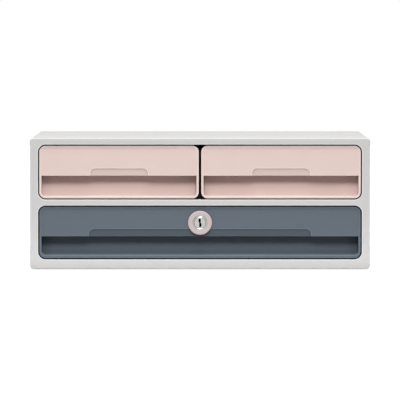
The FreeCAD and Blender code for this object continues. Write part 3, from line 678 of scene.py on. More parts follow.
@dataclass(frozen=True)
class MouldedPlastic:
    """Satin injection-moulded plastic with a fine spark-eroded grain.

    Its factors of the colour paint light and shade: rubbing with a painted highlight along outer edges,
    painted shade in hollows and gaps, and painted light and shade on faces that look down or up. Its spots
    are counted by the metre.
    """

    colour: Colour
    roughness: float = 0.46
    smoother: float = 0.05
    rougher: float = 0.06
    sheen: float = 0.4
    mottling: float = 0.025
    clouds: float = 38.0
    flow_marks: float = 9.0
    flow_stretch: Place = (0.25, 1.0, 1.0)
    flow_range: Point = (0.35, 0.65)
    flow_share: float = 0.5
    patches: float = 120.0
    grain: float = 0.35 * MM
    grain_depth: float = 0.012 * MM
    swells: float = 24.0
    swell_depth: float = 0.05 * MM
    # Edge lightening: rubbing and a painted highlight.
    wear_and_highlight: float = 1.45
    wear_and_highlight_width: float = 0.95 * MM
    # Darkening in deep hollows: painted shade.
    hollow_reach: float = 14.0 * MM
    hollow_shut: float = 0.35
    hollow_breadth: float = 0.6
    hollow_shade: float = 0.72
    # Darkening in narrow gaps: painted shade.
    gap_reach: float = 3.5 * MM
    gap_shut: float = 0.08
    gap_breadth: float = 0.5
    gap_shade: float = 0.15
    # Faces that look down toned darker, faces that look up lighter or darker: painted shade and light.
    down_face_slopes: Point = (-0.14, -0.02)
    down_face_shade: float = 1.0
    up_face_slopes: Point = (0.5, 0.95)
    up_face_light: float = 1.0

    def body(self, nodes: Nodes) -> Socket:
        """Return the plastic's own colour, clouded and with faint flow marks.

        Args:
            nodes: The material's nodes.

        Returns:
            The colour.
        """
        dark, pale = (shade(self.colour, 1 + sign * self.mottling) for sign in (-1, 1))
        clouded = nodes.blend(nodes.noise(self.clouds, 3.0), dark, pale)
        flow = nodes.noise(self.flow_marks, 2.0, self.flow_stretch)
        marks = nodes.spread(flow, *self.flow_range, 0.0, self.flow_share)
        return nodes.blend(marks, clouded, shade(self.colour, 1 - self.mottling / 2))

    def worn_and_shaded(self, nodes: Nodes, body: Socket) -> Socket:
        """Return a colour lit along edges by rubbing and a painted highlight, with painted shade and light in
        hollows, gaps and by slope.

        Args:
            nodes: The material's nodes.
            body: The colour.

        Returns:
            The new colour.
        """
        # Lighter outer edges: rubbing and a painted highlight.
        worn_and_highlit = nodes.blend(nodes.edges(self.wear_and_highlight_width), body, shade(self.colour, self.wear_and_highlight))
        # Darker hollows and gaps: painted shade.
        hollows = nodes.hollows(self.hollow_reach, self.hollow_shut, self.hollow_breadth)
        hollow_shaded = nodes.blend(hollows, worn_and_highlit, shade(self.colour, self.hollow_shade))
        gaps = nodes.hollows(self.gap_reach, self.gap_shut, self.gap_breadth)
        shut = nodes.blend(gaps, hollow_shaded, shade(self.colour, self.gap_shade))
        # Tone by slope: painted shade under faces that look down, painted light or shade on faces that look
        # up.
        upward = nodes.upward()
        below = nodes.spread(upward, *self.down_face_slopes, self.down_face_shade, 1.0)
        above = nodes.spread(upward, *self.up_face_slopes, 1.0, self.up_face_light)
        return nodes.toned(shut, nodes.combine(Operation.MULTIPLY, below, above))

    def make(self, name: str) -> bpy.types.Material:
        """Return the finish as a material.

        Args:
            name: The material's name.

        Returns:
            The material.
        """
        nodes = Nodes(bpy.data.materials.new(name))
        colour = self.worn_and_shaded(nodes, self.body(nodes))
        fine = nodes.noise(1.0 / self.grain, 3.0)
        smooth, rough = self.roughness - self.smoother, self.roughness + self.rougher
        roughness = nodes.patches(self.patches, 4.0, smooth, rough)
        swell = nodes.bump(nodes.noise(self.swells, 1.0), self.swell_depth, 0.15)
        nodes.feed({
            "Base Color": colour, "Roughness": roughness, "Specular IOR Level": self.sheen, "IOR": 1.5,
            "Normal": nodes.bump(fine, self.grain_depth, 0.5, swell),
        })
        return nodes.owner


@dataclass(frozen=True)
class PlatedMetal:
    """Plated metal: crystalline, or turned about an axis with painted shade in the hole at its middle.

    Its spots are counted by the metre.
    """

    colour: Colour
    roughness: float
    turned_about: Vector | None = None
    smoother: float = 0.07
    rougher: float = 0.1
    stains: float = 420.0
    stain_shades: Point = (0.82, 1.1)
    patches: float = 900.0
    # Edge lightening: rubbing and a painted highlight.
    wear_and_highlight: float = 1.3
    wear_and_highlight_width: float = 0.2 * MM
    crystals: float = 2600.0
    crystal_depth: float = 0.01 * MM
    ring_spacing: float = 0.22 * MM
    ring_depth: float = 0.012 * MM
    scratches: float = 3200.0
    scratch_depth: float = 0.006 * MM
    # The keyway's dark inside: painted shade.
    hole_reach: float = 5.8 * MM
    hole_depth: float = 6.2 * MM
    hole_shade: Colour = (0.006, 0.007, 0.006)

    def relief(self, nodes: Nodes) -> Socket:
        """Return the surface's fine relief.

        Args:
            nodes: The material's nodes.

        Returns:
            The normal.
        """
        if self.turned_about is None:
            return nodes.bump(nodes.noise(self.crystals, 4.0), self.crystal_depth, 0.5)
        rings = nodes.bump(nodes.rings(self.turned_about, self.ring_spacing), self.ring_depth, 0.6)
        return nodes.bump(nodes.noise(self.scratches, 3.0), self.scratch_depth, 0.4, rings)

    def make(self, name: str) -> bpy.types.Material:
        """Return the finish as a material.

        Args:
            name: The material's name.

        Returns:
            The material.
        """
        nodes = Nodes(bpy.data.materials.new(name))
        stain = nodes.noise(self.stains, 4.0)
        body = nodes.blend(stain, *(shade(self.colour, by) for by in self.stain_shades))
        # Lighter edges: rubbing and a painted highlight.
        worn_and_highlit = nodes.blend(nodes.edges(self.wear_and_highlight_width), body, shade(self.colour, self.wear_and_highlight))
        if self.turned_about is not None:
            # Near-black keyway: painted shade in the hole.
            hole = nodes.pit(self.turned_about, self.hole_reach, self.hole_depth)
            worn_and_highlit = nodes.blend(hole, worn_and_highlit, self.hole_shade)
        smooth, rough = self.roughness - self.smoother, self.roughness + self.rougher
        roughness = nodes.patches(self.patches, 3.0, smooth, rough)
        nodes.feed({
            "Base Color": worn_and_highlit, "Roughness": roughness, "Normal": self.relief(nodes), "Metallic": 1.0,
        })
        return nodes.owner


@dataclass(frozen=True)
class Rubber:
    """Dull dark rubber with dust in its pores, its spots counted by the metre."""

    colour: Colour
    roughness: Point = (0.72, 0.9)
    dust: float = 700.0
    dust_range: Point = (0.5, 0.75)
    dust_share: float = 0.35
    dust_shade: float = 2.4
    patches: float = 300.0
    pores: float = 1800.0
    pore_depth: float = 0.03 * MM
    sheen: float = 0.25

    def make(self, name: str) -> bpy.types.Material:
        """Return the finish as a material.

        Args:
            name: The material's name.

        Returns:
            The material.
        """
        nodes = Nodes(bpy.data.materials.new(name))
        dust = nodes.spread(nodes.noise(self.dust, 5.0), *self.dust_range, 0.0, self.dust_share)
        nodes.feed({
            "Base Color": nodes.blend(dust, self.colour, shade(self.colour, self.dust_shade)),
            "Roughness": nodes.patches(self.patches, 2.0, *self.roughness),
            "Normal": nodes.bump(nodes.noise(self.pores, 4.0), self.pore_depth, 0.6),
            "Specular IOR Level": self.sheen,
        })
        return nodes.owner


class Finish(Enum):
    """The unit's finishes: one for each of the record's slots, and a darker copy of the pink plastic for the
    lock ring, its painted shade.
    """

    CASE_PLASTIC = "case_plastic"
    DARK_PLASTIC = "dark_plastic"
    PINK_PLASTIC = "pink_plastic"
    RING_PLASTIC = "ring_plastic"
    SLATE_PLASTIC = "slate_plastic"
    FOOT_RUBBER = "foot_rubber"
    SCREW_STEEL = "screw_steel"
    LOCK_METAL = "lock_metal"

    @property
    def slot(self) -> str:
        """Return the record's slot for a piece with this finish."""
        return "pink_plastic" if self is Finish.RING_PLASTIC else self.value


class Finishes:
    """The materials of the unit's finishes."""

    def __init__(self, lock_face: Vector) -> None:
        """Make the materials.

        Args:
            lock_face: The middle of the lock plug's face, for the lock's turned faces and its keyway.
        """
        makers = {
            Finish.CASE_PLASTIC: MouldedPlastic((0.61, 0.605, 0.60), sheen=0.15),
            # The divider's near-black colour: painted shade for the gaps between the drawers.
            Finish.DARK_PLASTIC: MouldedPlastic((0.020, 0.018, 0.017), roughness=0.6, sheen=0.3),
            # Pink: painted shade in hollows and on faces that look up.
            Finish.PINK_PLASTIC: MouldedPlastic(
                (0.762, 0.606, 0.563), sheen=0.1, hollow_shade=0.8, up_face_light=0.95
            ),
            # The lock ring: the pink plastic in a darker copy, painted shade.
            Finish.RING_PLASTIC: MouldedPlastic(
                (0.575, 0.487, 0.485), sheen=0.1, mottling=0.06, wear_and_highlight=1.15, wear_and_highlight_width=0.5 * MM
            ),
            # Slate: painted shade in hollows and on faces that look down, painted light on faces that look
            # up.
            Finish.SLATE_PLASTIC: MouldedPlastic(
                (0.125, 0.150, 0.179), roughness=0.5, sheen=0.06, wear_and_highlight=1.5, hollow_shade=0.62, down_face_shade=0.72,
                up_face_light=1.3,
            ),
            Finish.FOOT_RUBBER: Rubber((0.028, 0.028, 0.030)),
            Finish.SCREW_STEEL: PlatedMetal((0.62, 0.61, 0.58), 0.34),
            Finish.LOCK_METAL: PlatedMetal((0.47, 0.48, 0.465), 0.30, lock_face),
        }
        self.materials = {finish: maker.make(finish.value) for finish, maker in makers.items()}

    def dress(self, piece: Piece, finish: Finish) -> None:
        """Give a piece one of the finishes."""
        piece.data.materials.clear()
        piece.data.materials.append(self.materials[finish])


def stand_for(piece: Piece, node: str, body: str, finish: Finish, finishes: Finishes) -> None:
    """Let a finished piece ride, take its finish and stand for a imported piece.

    Args:
        piece: The finished piece.
        node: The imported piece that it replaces.
        body: The body that it rides on.
        finish: The piece's finish.
        finishes: The unit's finishes.
    """
    finishes.dress(piece, finish)
    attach(piece, body)
    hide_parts(node)


def keep_packed(node: str, finish: Finish, width: float, finishes: Finishes) -> None:
    """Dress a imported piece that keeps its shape, with softer edges.

    Args:
        node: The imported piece's name.
        finish: The piece's finish.
        width: The rounded edges' width.
        finishes: The unit's finishes.
    """
    finishes.dress(soften_packed(node, width), finish)
    LOG.info("%s keeps its packed shape in %s", node, finish.slot)


# The case

@dataclass
class Case:
    """The housing: a front frame with two windows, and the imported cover, base, back, shelf and divider."""

    side_band: float = 8.35 * MM
    top_band: float = 6.6 * MM
    middle_band: float = 6.15 * MM
    bottom_band: float = 9.8 * MM
    lower_window: float = 55.9 * MM
    window_radius: float = 7.7 * MM
    top_radius: float = 3.0 * MM
    bottom_radius: float = 4.0 * MM
    face: float = 2.6 * MM
    rim_depth: float = 8.0 * MM
    rim_wall: float = 1.5 * MM
    sleeve_wall: float = 1.8 * MM
    strike_width: float = 44.0 * MM
    outer_round: float = 0.8 * MM
    window_round: float = 0.35 * MM
    plain_round: float = 0.2 * MM
    cover_round: float = 0.35 * MM
    panel_round: float = 0.25 * MM

    def __post_init__(self) -> None:
        """Take the frame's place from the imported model."""
        low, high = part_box("front_frame")
        self.front = low.y
        self.rear = high.y
        self.outer = Box(low.x, high.x, low.z, high.z)
        self.opening = Box(
            low.x + self.side_band, high.x - self.side_band, low.z + self.bottom_band, high.z - self.top_band
        )

    def windows(self) -> tuple[Box, Box]:
        """Find the two windows.

        Returns:
            The lower and the upper window.
        """
        middle = self.opening.low + self.lower_window
        lower = Box(self.opening.left, self.opening.right, self.opening.low, middle)
        upper = Box(self.opening.left, self.opening.right, middle + self.middle_band, self.opening.high)
        return lower, upper

    def front_frame(self) -> Piece:
        """Build the front frame.

        Returns:
            The frame with soft outer and window edges.
        """
        rim = self.front + self.rim_depth
        plate = self.front + self.face
        corners = Corners.low_and_high(self.bottom_radius, self.top_radius)
        piece = drawn_out("case_front_frame", self.outer.outline(corners), Axis.INWARDS, self.front, rim)
        corners = Corners.low_and_high(self.bottom_radius - self.rim_wall, self.top_radius - self.rim_wall)
        cut(piece, self.outer.inset(self.rim_wall).outline(corners), plate, rim + BEYOND)
        corners = Corners.all(self.window_radius + self.sleeve_wall)
        sleeve = self.opening.inset(-self.sleeve_wall).outline(corners)
        work(piece, drawn_out("sleeve", sleeve, Axis.INWARDS, plate - self.face / 2, self.rear), Join.ADD)
        lower, upper = self.windows()
        corners = Corners.all(self.window_radius)
        for window in (lower, upper):
            cut(piece, window.outline(corners), self.front - BEYOND, self.rear + BEYOND)
        reach = self.opening.right - self.window_radius
        for left, right in ((-reach, -self.strike_width / 2), (self.strike_width / 2, reach)):
            pocket = Box(left, right, lower.high + self.sleeve_wall, upper.low - self.sleeve_wall)
            cut(piece, pocket.outline(), plate, self.rear + BEYOND)
        divide(piece, [(Axis.ACROSS, 0.0), (Axis.UP, lower.middle[1]), (Axis.UP, upper.middle[1])])
        soften(piece, self.edge_width, 3)
        return piece

    def edge_width(self, first: Vector, second: Vector) -> float:
        """Return how wide an edge of the front frame is rounded.

        Args:
            first: One end of the edge.
            second: Its other end.

        Returns:
            The width.
        """
        if max(first.y, second.y) > self.front + self.plain_round:
            return self.plain_round
        middle = (first + second) / 2
        inner = self.outer.inset(self.side_band / 2)
        between_sides = inner.left < middle.x < inner.right
        between_bands = inner.low < middle.z < self.outer.high - self.top_band / 2
        return self.window_round if between_sides and between_bands else self.outer_round

    def build(self, finishes: Finishes) -> None:
        """Build the frame and the feet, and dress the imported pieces.

        Args:
            finishes: The unit's finishes.
        """
        stand_for(self.front_frame(), "front_frame", "case", Finish.CASE_PLASTIC, finishes)
        packed = (
            ("top_cover", Finish.CASE_PLASTIC, self.cover_round),
            ("base_tray", Finish.CASE_PLASTIC, self.panel_round),
            ("back_panel", Finish.CASE_PLASTIC, self.panel_round),
            ("middle_shelf", Finish.CASE_PLASTIC, self.plain_round),
            ("centre_divider", Finish.DARK_PLASTIC, self.plain_round),
        )
        for node, finish, width in packed:
            keep_packed(node, finish, width, finishes)
        for node in ("foot_front_right", "foot_front_left", "foot_rear_right", "foot_rear_left"):
            stand_for(RubberFoot(node).piece(), node, "case", Finish.FOOT_RUBBER, finishes)


@dataclass
class RubberFoot:
    """A round rubber foot with ribs round its sole."""

    node: str
    edge: float = 0.5 * MM
    rib: float = 1.1 * MM
    groove: float = 0.25 * MM
    groove_form: tuple[Point, ...] = ((0.0, 0.0), (0.3, 1.0), (0.7, 1.0), (1.0, 0.0))
    ribs: int = 4
    sides: int = 72
    fine_round: float = 0.06 * MM

    def piece(self) -> Piece:
        """Build the foot, turned about its upright axis.

        Returns:
            The foot.
        """
        low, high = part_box(self.node)
        centre = (low + high) / 2
        radius = (high.x - low.x) / 2
        profile: Outline = [(0.0, high.z), (radius, high.z)]
        profile += arc((radius - self.edge, low.z + self.edge), self.edge, 0, -90, 5)
        place = radius - self.edge - self.rib / 2
        for _ in range(self.ribs):
            for shift, rise in self.groove_form:
                profile.append((place - shift * self.rib / 2, low.z + rise * self.groove))
            place -= self.rib
        profile.append((0.0, low.z))
        piece = turned("rubber_" + self.node, profile, (centre.x, centre.y), self.sides, Axis.UP)
        soften(piece, self.fine_round, 1)
        return piece


# The drawers

@dataclass
class Drawer:
    """One drawer: a hollow moulded front with a finger recess, and its packed tray."""

    name: str
    finish: Finish
    panel_height: float
    scoop_width: float
    clips: tuple[float, ...]
    corner: float = 6.5 * MM
    rim: float = 2.2 * MM
    sink: float = 0.4 * MM
    lower_lip: float = 3.4 * MM
    recess: float = 14.0 * MM
    lean: float = 1.8 * MM
    cove: float = 1.2 * MM
    wall: float = 2.4 * MM
    depth: float = 18.5 * MM
    scoop_height: float = 7.6 * MM
    scoop_below: float = 0.9 * MM
    scoop_step: float = 1.0 * MM
    scoop_deep: float = 2.1 * MM
    scoop_corner: float = 5.0 * MM
    clip_width: float = 12.0 * MM
    clip_thick: float = 1.8 * MM
    clip_barb: float = 1.0 * MM
    tray_wall: float = 1.9 * MM
    seam_margin: float = 1.0 * MM
    outer_round: float = 0.4 * MM
    lip_round: float = 0.45 * MM
    step_round: float = 0.17 * MM
    plain_round: float = 0.25 * MM
    rear_round: float = 0.15 * MM
    tray_round: float = 0.3 * MM

    def __post_init__(self) -> None:
        """Take the front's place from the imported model."""
        low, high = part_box(self.name + "_drawer_front")
        self.face = low.y
        self.outer = Box(low.x, high.x, low.z, high.z)
        self.middle = self.outer.middle[0]
        self.lip = high.z - self.panel_height
        self.inner = Box(low.x + self.rim, high.x - self.rim, low.z + self.lower_lip, high.z - self.rim)
        self.inner_corner = self.corner - self.rim

    def block(self, name: str, box: Box, corners: Corners, start: float, end: float) -> Piece:
        """Return a block that runs inwards between two depths below the face."""
        return drawn_out(name, box.outline(corners), Axis.INWARDS, self.face + start, self.face + end)

    def cut(self, piece: Piece, box: Box, corners: Corners, start: float, end: float) -> None:
        """Cut a room that runs inwards between two depths below the face."""
        work(piece, self.block("room", box, corners, start, end), Join.CUT)

    def recess_block(self) -> Piece:
        """Return the room of the finger recess, whose wall leans forward and ends in a cove.

        Returns:
            The solid to cut out of the front.
        """
        room = Box(self.inner.left, self.inner.right, self.inner.low, self.lip)
        block = self.block("recess", room, Corners.low_and_high(self.inner_corner, 0.0), -BEYOND, self.depth)
        back = self.face + self.recess
        foot = back - self.lean
        ahead = self.face - 2 * BEYOND
        below = self.inner.low - BEYOND
        above = self.lip + BEYOND
        section: Outline = [(ahead, below), (foot - self.cove, below)]
        section += arc((foot - self.cove, self.inner.low + self.cove), self.cove, -90, 0, 8)
        section += [(back, self.lip), (back, above), (ahead, above)]
        shape = drawn_out(
            "recess_wall", section, Axis.ACROSS, self.inner.left - BEYOND, self.inner.right + BEYOND
        )
        return work(block, shape, Join.KEEP)

    def scoop_block(self) -> Piece:
        """Return the room of the scoop, whose floor slopes inwards down to the panel's lip.

        Returns:
            The solid to cut out of the front.
        """
        tilt = math.atan2(self.scoop_deep - self.scoop_step, self.scoop_height)
        half = self.scoop_width / 2
        box = Box(self.middle - half, self.middle + half, -self.scoop_below, self.scoop_height)
        outline = box.outline(Corners.low_and_high(0.0, self.scoop_corner))
        block = drawn_out("scoop", outline, Axis.INWARDS, -2 * self.scoop_deep, 0.0)
        turn = Matrix.Rotation(tilt, 4, "X")
        shift = Matrix.Translation((0.0, self.face + self.scoop_deep, self.lip))
        block.data.transform(shift @ turn)
        return block

    def clip(self, across: float) -> Piece:
        """Return a springy arm that reaches through the tray's front wall and hooks behind it.

        Args:
            across: The arm's middle.

        Returns:
            The arm.
        """
        level = (self.lip + self.outer.high - self.clip_thick) / 2
        top = level + self.clip_thick
        root = self.face + self.sink + self.wall / 2
        shoulder = self.face + self.depth + self.tray_wall
        tip = shoulder + 2 * self.clip_barb
        section: Outline = [
            (root, level), (tip, level), (tip, top), (shoulder, top + self.clip_barb), (shoulder, top),
            (root, top),
        ]
        left = across - self.clip_width / 2
        return drawn_out("clip", section, Axis.ACROSS, left, left + self.clip_width)

    def front(self) -> Piece:
        """Build the moulded front.

        Returns:
            The front with its sunk panel, scoop, finger recess and clips.
        """
        name = self.name + "_moulded_front"
        rear = self.depth + BEYOND
        piece = self.block(name, self.outer, Corners.all(self.corner), 0.0, self.depth)
        self.cut(piece, self.inner, Corners.all(self.inner_corner), -BEYOND, self.sink)
        work(piece, self.recess_block(), Join.CUT)
        shell = self.outer.inset(self.wall)
        upper = Box(shell.left, shell.right, self.lip + self.wall, shell.high)
        corners = Corners.low_and_high(0.0, self.corner - self.wall)
        self.cut(piece, upper, corners, self.sink + self.wall, rear)
        lower = Box(shell.left, shell.right, self.inner.low, self.lip)
        corners = Corners.low_and_high(self.scoop_corner / 2, 0.0)
        self.cut(piece, lower, corners, self.recess + self.wall, rear)
        work(piece, self.scoop_block(), Join.CUT)
        for offset in self.clips:
            work(piece, self.clip(self.middle + offset), Join.ADD)
        reach = (self.inner.right - self.inner.left) / 2 - self.inner_corner - self.seam_margin
        divide(piece, [(Axis.ACROSS, self.middle + side * reach) for side in (-1, 0, 1)])
        return piece

    def edge_width(self, first: Vector, second: Vector) -> float:
        """Return how wide an edge of the front is rounded.

        Args:
            first: One end of the edge.
            second: Its other end.

        Returns:
            The width.
        """
        near, level = 0.05 * MM, 0.01 * MM
        scoop_end = self.scoop_deep + 0.2 * MM
        recess_end = self.recess + 0.5 * MM
        recess_top = self.lip + 0.1 * MM
        middle = (first + second) / 2
        depth = middle.y - self.face
        if depth < near:
            on_side = self.outer.margin(middle.x, middle.z) < self.rim / 2
            return self.outer_round if on_side or self.near_outer_corner(middle) else self.step_round
        if depth < scoop_end:
            on_lip = abs(middle.z - self.lip) < near and abs(first.z - second.z) < level
            return self.lip_round if on_lip else self.step_round
        if depth < recess_end and middle.z < recess_top:
            return self.plain_round
        return self.rear_round

    def near_outer_corner(self, place: Vector) -> bool:
        """Tell whether a place on the face lies on the rounded outer corner, not on the rim's inner edge.

        Args:
            place: The place.

        Returns:
            Whether it does.
        """
        across = abs(place.x - self.middle) - (self.outer.right - self.middle - self.corner)
        up = abs(place.z - self.outer.middle[1]) - (self.outer.high - self.outer.middle[1] - self.corner)
        return across > 0 and up > 0 and math.hypot(across, up) > self.corner - self.rim / 2

    def build(self, finishes: Finishes) -> None:
        """Build and dress the drawer.

        Args:
            finishes: The unit's finishes.
        """
        body = self.name + "_drawer"
        piece = self.front()
        self.fit_out(piece)
        soften(piece, self.edge_width, 3)
        stand_for(piece, self.name + "_drawer_front", body, self.finish, finishes)
        keep_packed(self.name + "_drawer_tray", self.finish, self.tray_round, finishes)

    def fit_out(self, piece: Piece) -> None:
        """Make the front ready for fittings; a plain front has none."""


@dataclass
class SmallDrawer(Drawer):
    """One of the two small drawers."""

    finish: Finish = Finish.PINK_PLASTIC
    panel_height: float = 31.15 * MM
    scoop_width: float = 59.6 * MM
    clips: tuple[float, ...] = (-58.6 * MM, 58.6 * MM)
    lower_lip: float = 2.1 * MM


@dataclass
class LockedDrawer(Drawer):
    """The wide drawer, whose front carries the cam lock."""

    finish: Finish = Finish.SLATE_PLASTIC
    panel_height: float = 30.95 * MM
    scoop_width: float = 229.6 * MM
    clips: tuple[float, ...] = (-142.5 * MM, -66.0 * MM, 66.0 * MM, 142.5 * MM)
    barrel_hole: float = 8.1 * MM
    barrel_sides: int = 96
    notch_margin: float = 0.8 * MM

    def fit_out(self, piece: Piece) -> None:
        """Cut the barrel's hole and the notch that the cam swings through.

        Args:
            piece: The moulded front.
        """
        hole = circle(Box.of("lock_barrel").middle, self.barrel_hole, self.barrel_sides)
        cut(piece, hole, self.face - BEYOND, self.face + self.sink + self.wall + BEYOND)
        cam = Box.of("lock_cam")
        notch = Box(
            cam.left, cam.right + self.notch_margin, self.outer.high - 1.5 * self.wall,
            self.outer.high + BEYOND,
        )
        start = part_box("lock_cam")[0].y - self.notch_margin / 2 - self.face
        self.cut(piece, notch, Corners(), start, self.depth + BEYOND)


# The cam lock

@dataclass
class CamLock:
    """The lock in the wide front: ring, barrel and nut, and the plug that turns with cam and screw."""

    sides: int = 128
    coarse_sides: int = 96
    hole_sides: int = 60
    play: float = 0.1 * MM
    slot_width: float = 2.4 * MM
    slot_height: float = 9.0 * MM
    slot_jog: float = 0.7 * MM
    slot_depth: float = 6.2 * MM
    slot_end: float = 0.9
    slot_slant: float = 0.2
    nose: float = 7.3 * MM
    nose_edge: float = 0.3 * MM
    bore: float = 5.95 * MM
    mouth: tuple[Point, ...] = ((0.0, 0.45 * MM), (0.35 * MM, 0.1 * MM), (0.6 * MM, 0.0))
    body_radius: float = 8.0 * MM
    flange: float = 11.0 * MM
    flange_thick: float = 0.8 * MM
    thread_start: float = 2.4 * MM
    thread_pitch: float = 1.0 * MM
    thread_depth: float = 0.35 * MM
    ring_rounding: float = 1.15 * MM
    dish: float = 0.5 * MM
    dish_level: float = 0.55 * MM
    plug_edge: float = 0.35 * MM
    tail: float = 6.0 * MM
    tail_play: float = 0.05 * MM
    screw_hole: float = 2.05 * MM
    screw_hole_depth: float = 7.0 * MM
    nut_flats: float = 19.0 * MM
    nut_chamfer: float = 0.7 * MM
    nut_bulge: float = 0.2 * MM
    nut_band: float = 0.3 * MM
    nut_play: float = 0.05 * MM
    shank: float = 2.0 * MM
    shank_edge: float = 0.4 * MM
    head_wall: float = 0.35
    cross_reach: float = 2.3 * MM
    cross_half: float = 0.35 * MM
    cross_depth: float = 1.0 * MM
    thread_round: float = 0.04 * MM
    fine_round: float = 0.08 * MM
    plain_round: float = 0.12 * MM
    cam_round: float = 0.22 * MM

    def __post_init__(self) -> None:
        """Take the lock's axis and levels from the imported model."""
        low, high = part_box("lock_escutcheon")
        self.centre = Box.of("lock_escutcheon").middle
        self.ring_face = low.y
        self.ring_seat = high.y
        self.ring_radius = (high.x - low.x) / 2

    def ring(self) -> Piece:
        """Build the cover ring, domed outside and dished towards the barrel.

        Returns:
            The ring.
        """
        bore = self.nose + self.play
        seat = self.ring_seat - self.flange_thick - self.play
        level = self.ring_face + self.dish_level
        rebate = self.flange + self.play
        rounding = self.ring_rounding
        profile: Outline = [(bore, seat), (bore, level)]
        profile += arc((bore + self.dish, level), self.dish, 180, 270, 6)
        profile += arc((self.ring_radius - rounding, self.ring_face + rounding), rounding, -90, 0, 9)
        profile += [(self.ring_radius, self.ring_seat), (rebate, self.ring_seat), (rebate, seat)]
        piece = turned("lock_cover_ring", profile, self.centre, self.sides)
        soften(piece, self.fine_round, 2)
        return piece

    def barrel(self) -> Piece:
        """Build the barrel with its flange and threaded body.

        Returns:
            The barrel.
        """
        low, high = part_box("lock_barrel")
        face = low.y
        seat = self.ring_seat - self.flange_thick
        profile: Outline = [(self.bore, high.y)]
        profile += [(self.bore + out, face + below) for out, below in self.mouth]
        profile += [
            (self.nose - self.nose_edge, face), (self.nose, face + self.nose_edge), (self.nose, seat),
            (self.flange, seat), (self.flange, self.ring_seat), (self.body_radius, self.ring_seat),
        ]
        along = self.ring_seat + self.thread_start
        while along + self.thread_pitch < high.y:
            root = (self.body_radius - self.thread_depth, along + self.thread_pitch / 2)
            profile += [(self.body_radius, along), root]
            along += self.thread_pitch
        profile += [(self.body_radius, along), (self.body_radius, high.y)]
        piece = turned("lock_barrel_body", profile, self.centre, self.sides)
        soften(piece, self.thread_round, 1)
        return piece

    def keyway(self) -> Outline:
        """Return the outline of the jogged keyway, which a half turn leaves the same.

        Returns:
            The points.
        """
        across, up = self.centre
        half = self.slot_width / 2
        jog = self.slot_jog / 2
        end = half * self.slot_end
        top = self.slot_height / 2 - end
        upper = arc((half - jog - end, top), end, 0, 90, 5)
        upper += arc((end - half - jog, top), end, 90, 180, 5)
        upper += [(-half - jog, half), (jog - half, -half * self.slot_slant)]
        return [(across + side * x, up + side * y) for side in (1, -1) for x, y in upper]

    def plug(self) -> Piece:
        """Build the plug with its keyway and its square tail.

        Returns:
            The plug.
        """
        low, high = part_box("lock_plug")
        radius = (high.x - low.x) / 2
        edge = self.plug_edge
        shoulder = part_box("lock_cam")[0].y
        profile: Outline = [
            (0.0, low.y), (radius - edge, low.y), (radius, low.y + edge), (radius, shoulder), (0.0, shoulder),
        ]
        piece = turned("lock_key_plug", profile, self.centre, self.sides)
        tail = Box.about(self.centre, self.tail / 2, self.tail / 2).outline()
        work(piece, drawn_out("tail", tail, Axis.INWARDS, shoulder - BEYOND, high.y), Join.ADD)
        cut(piece, self.keyway(), low.y - BEYOND, low.y + self.slot_depth)
        hole = circle(self.centre, self.screw_hole, self.hole_sides)
        cut(piece, hole, high.y - self.screw_hole_depth, high.y + BEYOND)
        soften(piece, self.plain_round, 2)
        return piece

    def nut(self) -> Piece:
        """Build the hexagon nut with its corners bevelled off.

        Returns:
            The nut.
        """
        low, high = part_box("lock_nut")
        reach = self.nut_flats / math.sqrt(3)
        piece = drawn_out("lock_hexagon_nut", circle(self.centre, reach, 6), Axis.INWARDS, low.y, high.y)
        start, end = low.y - BEYOND, high.y + BEYOND
        middle = (low.y + high.y) / 2
        narrow = reach - self.nut_chamfer - BEYOND
        wide = reach + self.nut_bulge
        profile: Outline = [
            (0.0, start), (narrow, start), (wide, middle - self.nut_band), (wide, middle + self.nut_band),
            (narrow, end), (0.0, end),
        ]
        work(piece, turned("nut_cone", profile, self.centre, self.coarse_sides), Join.KEEP)
        hole = circle(self.centre, self.body_radius + self.nut_play, self.coarse_sides)
        cut(piece, hole, start, end)
        soften(piece, self.plain_round, 2)
        return piece

    def cam(self) -> Piece:
        """Build the stamped cam with its square hole and rounded nose.

        Returns:
            The cam.
        """
        low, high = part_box("lock_cam")
        width = high.z - low.z
        heel = width / 2 - self.play
        nose = width / 5
        outline = Box.of("lock_cam").outline(Corners(heel, heel, nose, nose))
        piece = drawn_out("lock_stamped_cam", outline, Axis.INWARDS, low.y, high.y)
        reach = self.tail / 2 + self.tail_play
        cut(piece, Box.about(self.centre, reach, reach).outline(), low.y - BEYOND, high.y + BEYOND)
        soften(piece, self.cam_round, 2)
        return piece

    def screw(self) -> Piece:
        """Build the cam's screw with a domed, crossed head.

        Returns:
            The screw.
        """
        low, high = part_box("lock_cam_screw")
        head = (high.x - low.x) / 2
        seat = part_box("lock_cam")[1].y
        wall = (high.y - seat) * self.head_wall
        dome = high.y - seat - wall
        profile: Outline = [
            (0.0, low.y), (self.shank - self.shank_edge, low.y), (self.shank, low.y + self.shank_edge),
            (self.shank, seat), (head, seat), (head, seat + wall),
        ]
        profile += arc((head - dome, seat + wall), dome, 15, 75, 5)
        profile.append((0.0, high.y))
        piece = turned("lock_cam_fixing_screw", profile, self.centre, self.coarse_sides)
        for arm in ((self.cross_reach, self.cross_half), (self.cross_half, self.cross_reach)):
            cut(piece, Box.about(self.centre, *arm).outline(), high.y - self.cross_depth, high.y + BEYOND)
        soften(piece, self.fine_round, 2)
        return piece

